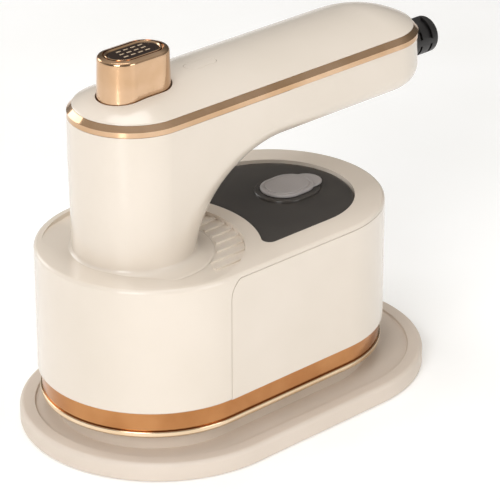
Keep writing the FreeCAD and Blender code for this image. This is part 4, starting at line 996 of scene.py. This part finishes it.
def slot_cutter(x, z, radius):
    """A thin washer with four ribs left out, so that cutting it leaves four slots."""
    width = 1.0 * MM
    inner, outer = radius - 2.0 * MM, radius + 1 * MM
    washer = turned("slot_washer", [(x - width / 2, inner), (x + width / 2, inner), (x + width / 2, outer),
                                    (x - width / 2, outer)], z)
    bars = grow("slot_bars", ring_tree(), Count=4, Radius=radius - 0.5 * MM, Centre=(x, 0.0, z),
                Bar=(2.1 * MM, 4.5 * MM, 2 * width))
    return combine(washer, bars)


class IRON_OT_stage(IronOperator, bpy.types.Operator):
    """Set the pale floor, the soft lights and the camera"""
    bl_idname = "iron.stage"
    bl_label = "Stage"

    def execute(self, context):
        scene = context.scene
        floor_mesh = bpy.data.meshes.new("floor")
        half = 3.0
        floor_mesh.from_pydata([(-half, -half, 0), (half, -half, 0), (half, half, 0), (-half, half, 0)], [],
                               [(0, 1, 2, 3)])
        floor = new_object("floor", floor_mesh)
        # Seamless paper: plain, matte and white, lifted a little so that it stays pale away from the lights
        tree, bsdf = shader("paper_white_floor", Roughness=0.6, Emission_Color=linear("FFFFFF"),
                            Emission_Strength=0.12)
        mottled(tree, bsdf, "FFFFFF", "FCFCFB", 60)
        floor.data.materials.append(bpy.data.materials["paper_white_floor"])
        floor.location.z = -0.0002
        make_world(scene)
        add_light("key_softbox", (-0.78, -0.42, 0.52), 4.2, 0.40, (0.0, 0.0, 0.07))
        add_light("front_softbox", (0.20, -0.95, 0.42), 2.1, 0.40, (0.0, 0.0, 0.07))
        add_light("rear_softbox", (-0.20, 0.95, 0.45), 2.0, 0.5, (0.0, 0.0, 0.07))
        add_light("top_softbox", (0.05, 0.10, 1.00), 2.7, 0.5, (0.0, 0.0, 0.0))
        add_pool("left_pool", (-0.235, -0.128, 0.50), 22.0, 8)
        add_pool("far_left_pool", (-0.300, -0.168, 0.50), 26.0, 9)
        add_pool("right_pool", (0.215, -0.235, 0.50), 1.4, 16)
        add_camera(scene)
        scene.view_settings.view_transform = "Standard"
        return {"FINISHED"}


def make_world(scene):
    """Studio surround: soft light overhead, and pale walls with darker gaps for metal to mirror."""
    world = bpy.data.worlds.new("studio")
    scene.world = world
    world.use_nodes = True
    tree = world.node_tree
    where = tree_node(tree, "ShaderNodeTexCoord")
    parts = tree_node(tree, "ShaderNodeSeparateXYZ", Vector=where.outputs["Generated"])
    around = tree_node(tree, "ShaderNodeMath", {"operation": "ARCTAN2"}, i0=parts.outputs["Y"],
                       i1=parts.outputs["X"])
    turn = tree_node(tree, "ShaderNodeMapRange", Value=around.outputs[0], From_Min=-pi, From_Max=pi,
                     To_Min=0.0, To_Max=1.0)
    walls = tree_node(tree, "ShaderNodeValToRGB", Fac=turn.outputs[0])
    walls.color_ramp.interpolation = "EASE"
    levels = ((-180, 0.05), (-160, 0.30), (-145, 0.65), (-132, 0.30), (-112, 0.05), (-92, 0.22), (-60, 0.46),
              (-20, 0.26), (30, 0.12), (60, 0.16), (95, 0.50), (125, 0.50), (160, 0.18), (180, 0.05))
    ramp = walls.color_ramp.elements
    while len(ramp) < len(levels):
        ramp.new(0.5)
    for element, (degrees, level) in zip(ramp, levels):
        element.position = (degrees + 180) / 360
        element.color = (level, level, level, 1)
    rise = tree_node(tree, "ShaderNodeMapRange", {"interpolation_type": "SMOOTHSTEP"}, Value=parts.outputs["Z"],
                     From_Min=0.35, From_Max=0.85, To_Min=0.0, To_Max=1.0)
    blend = tree_node(tree, "ShaderNodeMix", {"data_type": "FLOAT"}, Factor=rise.outputs[0])
    tree.links.new(walls.outputs[0], blend.inputs[2])
    blend.inputs[3].default_value = 0.55
    tree.nodes["Background"].inputs[0].default_value = linear("FFFCF7")
    tree.links.new(blend.outputs[0], tree.nodes["Background"].inputs[1])


def add_light(name, place, power, side, target):
    """A square softbox that points at a target."""
    data = bpy.data.lights.new(name, "AREA")
    data.energy = power
    data.size = side
    light = new_object(name, data)
    light.location = place
    light.rotation_mode = "QUATERNION"
    light.rotation_quaternion = (Vector(target) - Vector(place)).to_track_quat("-Z", "Y")


def add_pool(name, place, power, spread):
    """A narrow light straight down, whose pool on the floor shows as a highlight in upright metal."""
    data = bpy.data.lights.new(name, "SPOT")
    data.energy = power
    data.spot_size = radians(spread)
    data.spot_blend = 0.7
    data.shadow_soft_size = 0.03
    light = new_object(name, data)
    light.location = place


def add_camera(scene):
    """A long lens from the front left, a little above the deck."""
    azimuth, elevation = radians(-43.58), radians(25.34)
    back = Vector((sin(azimuth) * cos(elevation), -cos(azimuth) * cos(elevation), sin(elevation)))
    data = bpy.data.cameras.new("camera")
    data.sensor_width = 36.0
    data.lens = 203.6
    data.clip_end = 20.0
    camera = new_object("camera", data)
    camera.location = Vector((-0.5606, -0.6066, 0.4417))
    camera.rotation_mode = "QUATERNION"
    camera.rotation_quaternion = (-back).to_track_quat("-Z", "Y")
    scene.camera = camera


class IRON_PT_panel(bpy.types.Panel):
    """Lists the iron's pieces in the 3D view's sidebar"""
    bl_idname = "IRON_PT_panel"
    bl_label = "Steam iron"
    bl_space_type = "VIEW_3D"
    bl_region_type = "UI"
    bl_category = "Iron"

    def draw(self, context):
        for piece in OPERATORS:
            self.layout.operator(piece.bl_idname, text=piece.bl_label)
        for group in (context.scene.iron_shape, context.scene.iron_colours):
            for name in group.__annotations__:
                self.layout.prop(group, name)


OPERATORS = (IRON_OT_materials, IRON_OT_stage, IRON_OT_tray, IRON_OT_base, IRON_OT_body, IRON_OT_tank,
             IRON_OT_handle, IRON_OT_button, IRON_OT_cord_end)
CLASSES = (IronShape, IronColours) + OPERATORS + (IRON_PT_panel,)


def register():
    for cls in CLASSES:
        bpy.utils.register_class(cls)
    bpy.types.Scene.iron_shape = bpy.props.PointerProperty(type=IronShape)
    bpy.types.Scene.iron_colours = bpy.props.PointerProperty(type=IronColours)


def unregister():
    del bpy.types.Scene.iron_shape
    del bpy.types.Scene.iron_colours
    for cls in reversed(CLASSES):
        bpy.utils.unregister_class(cls)


def main():
    register()
    for piece in OPERATORS:
        group, name = piece.bl_idname.split(".")
        getattr(getattr(bpy.ops, group), name)()


if __name__ == "__main__":
    main()
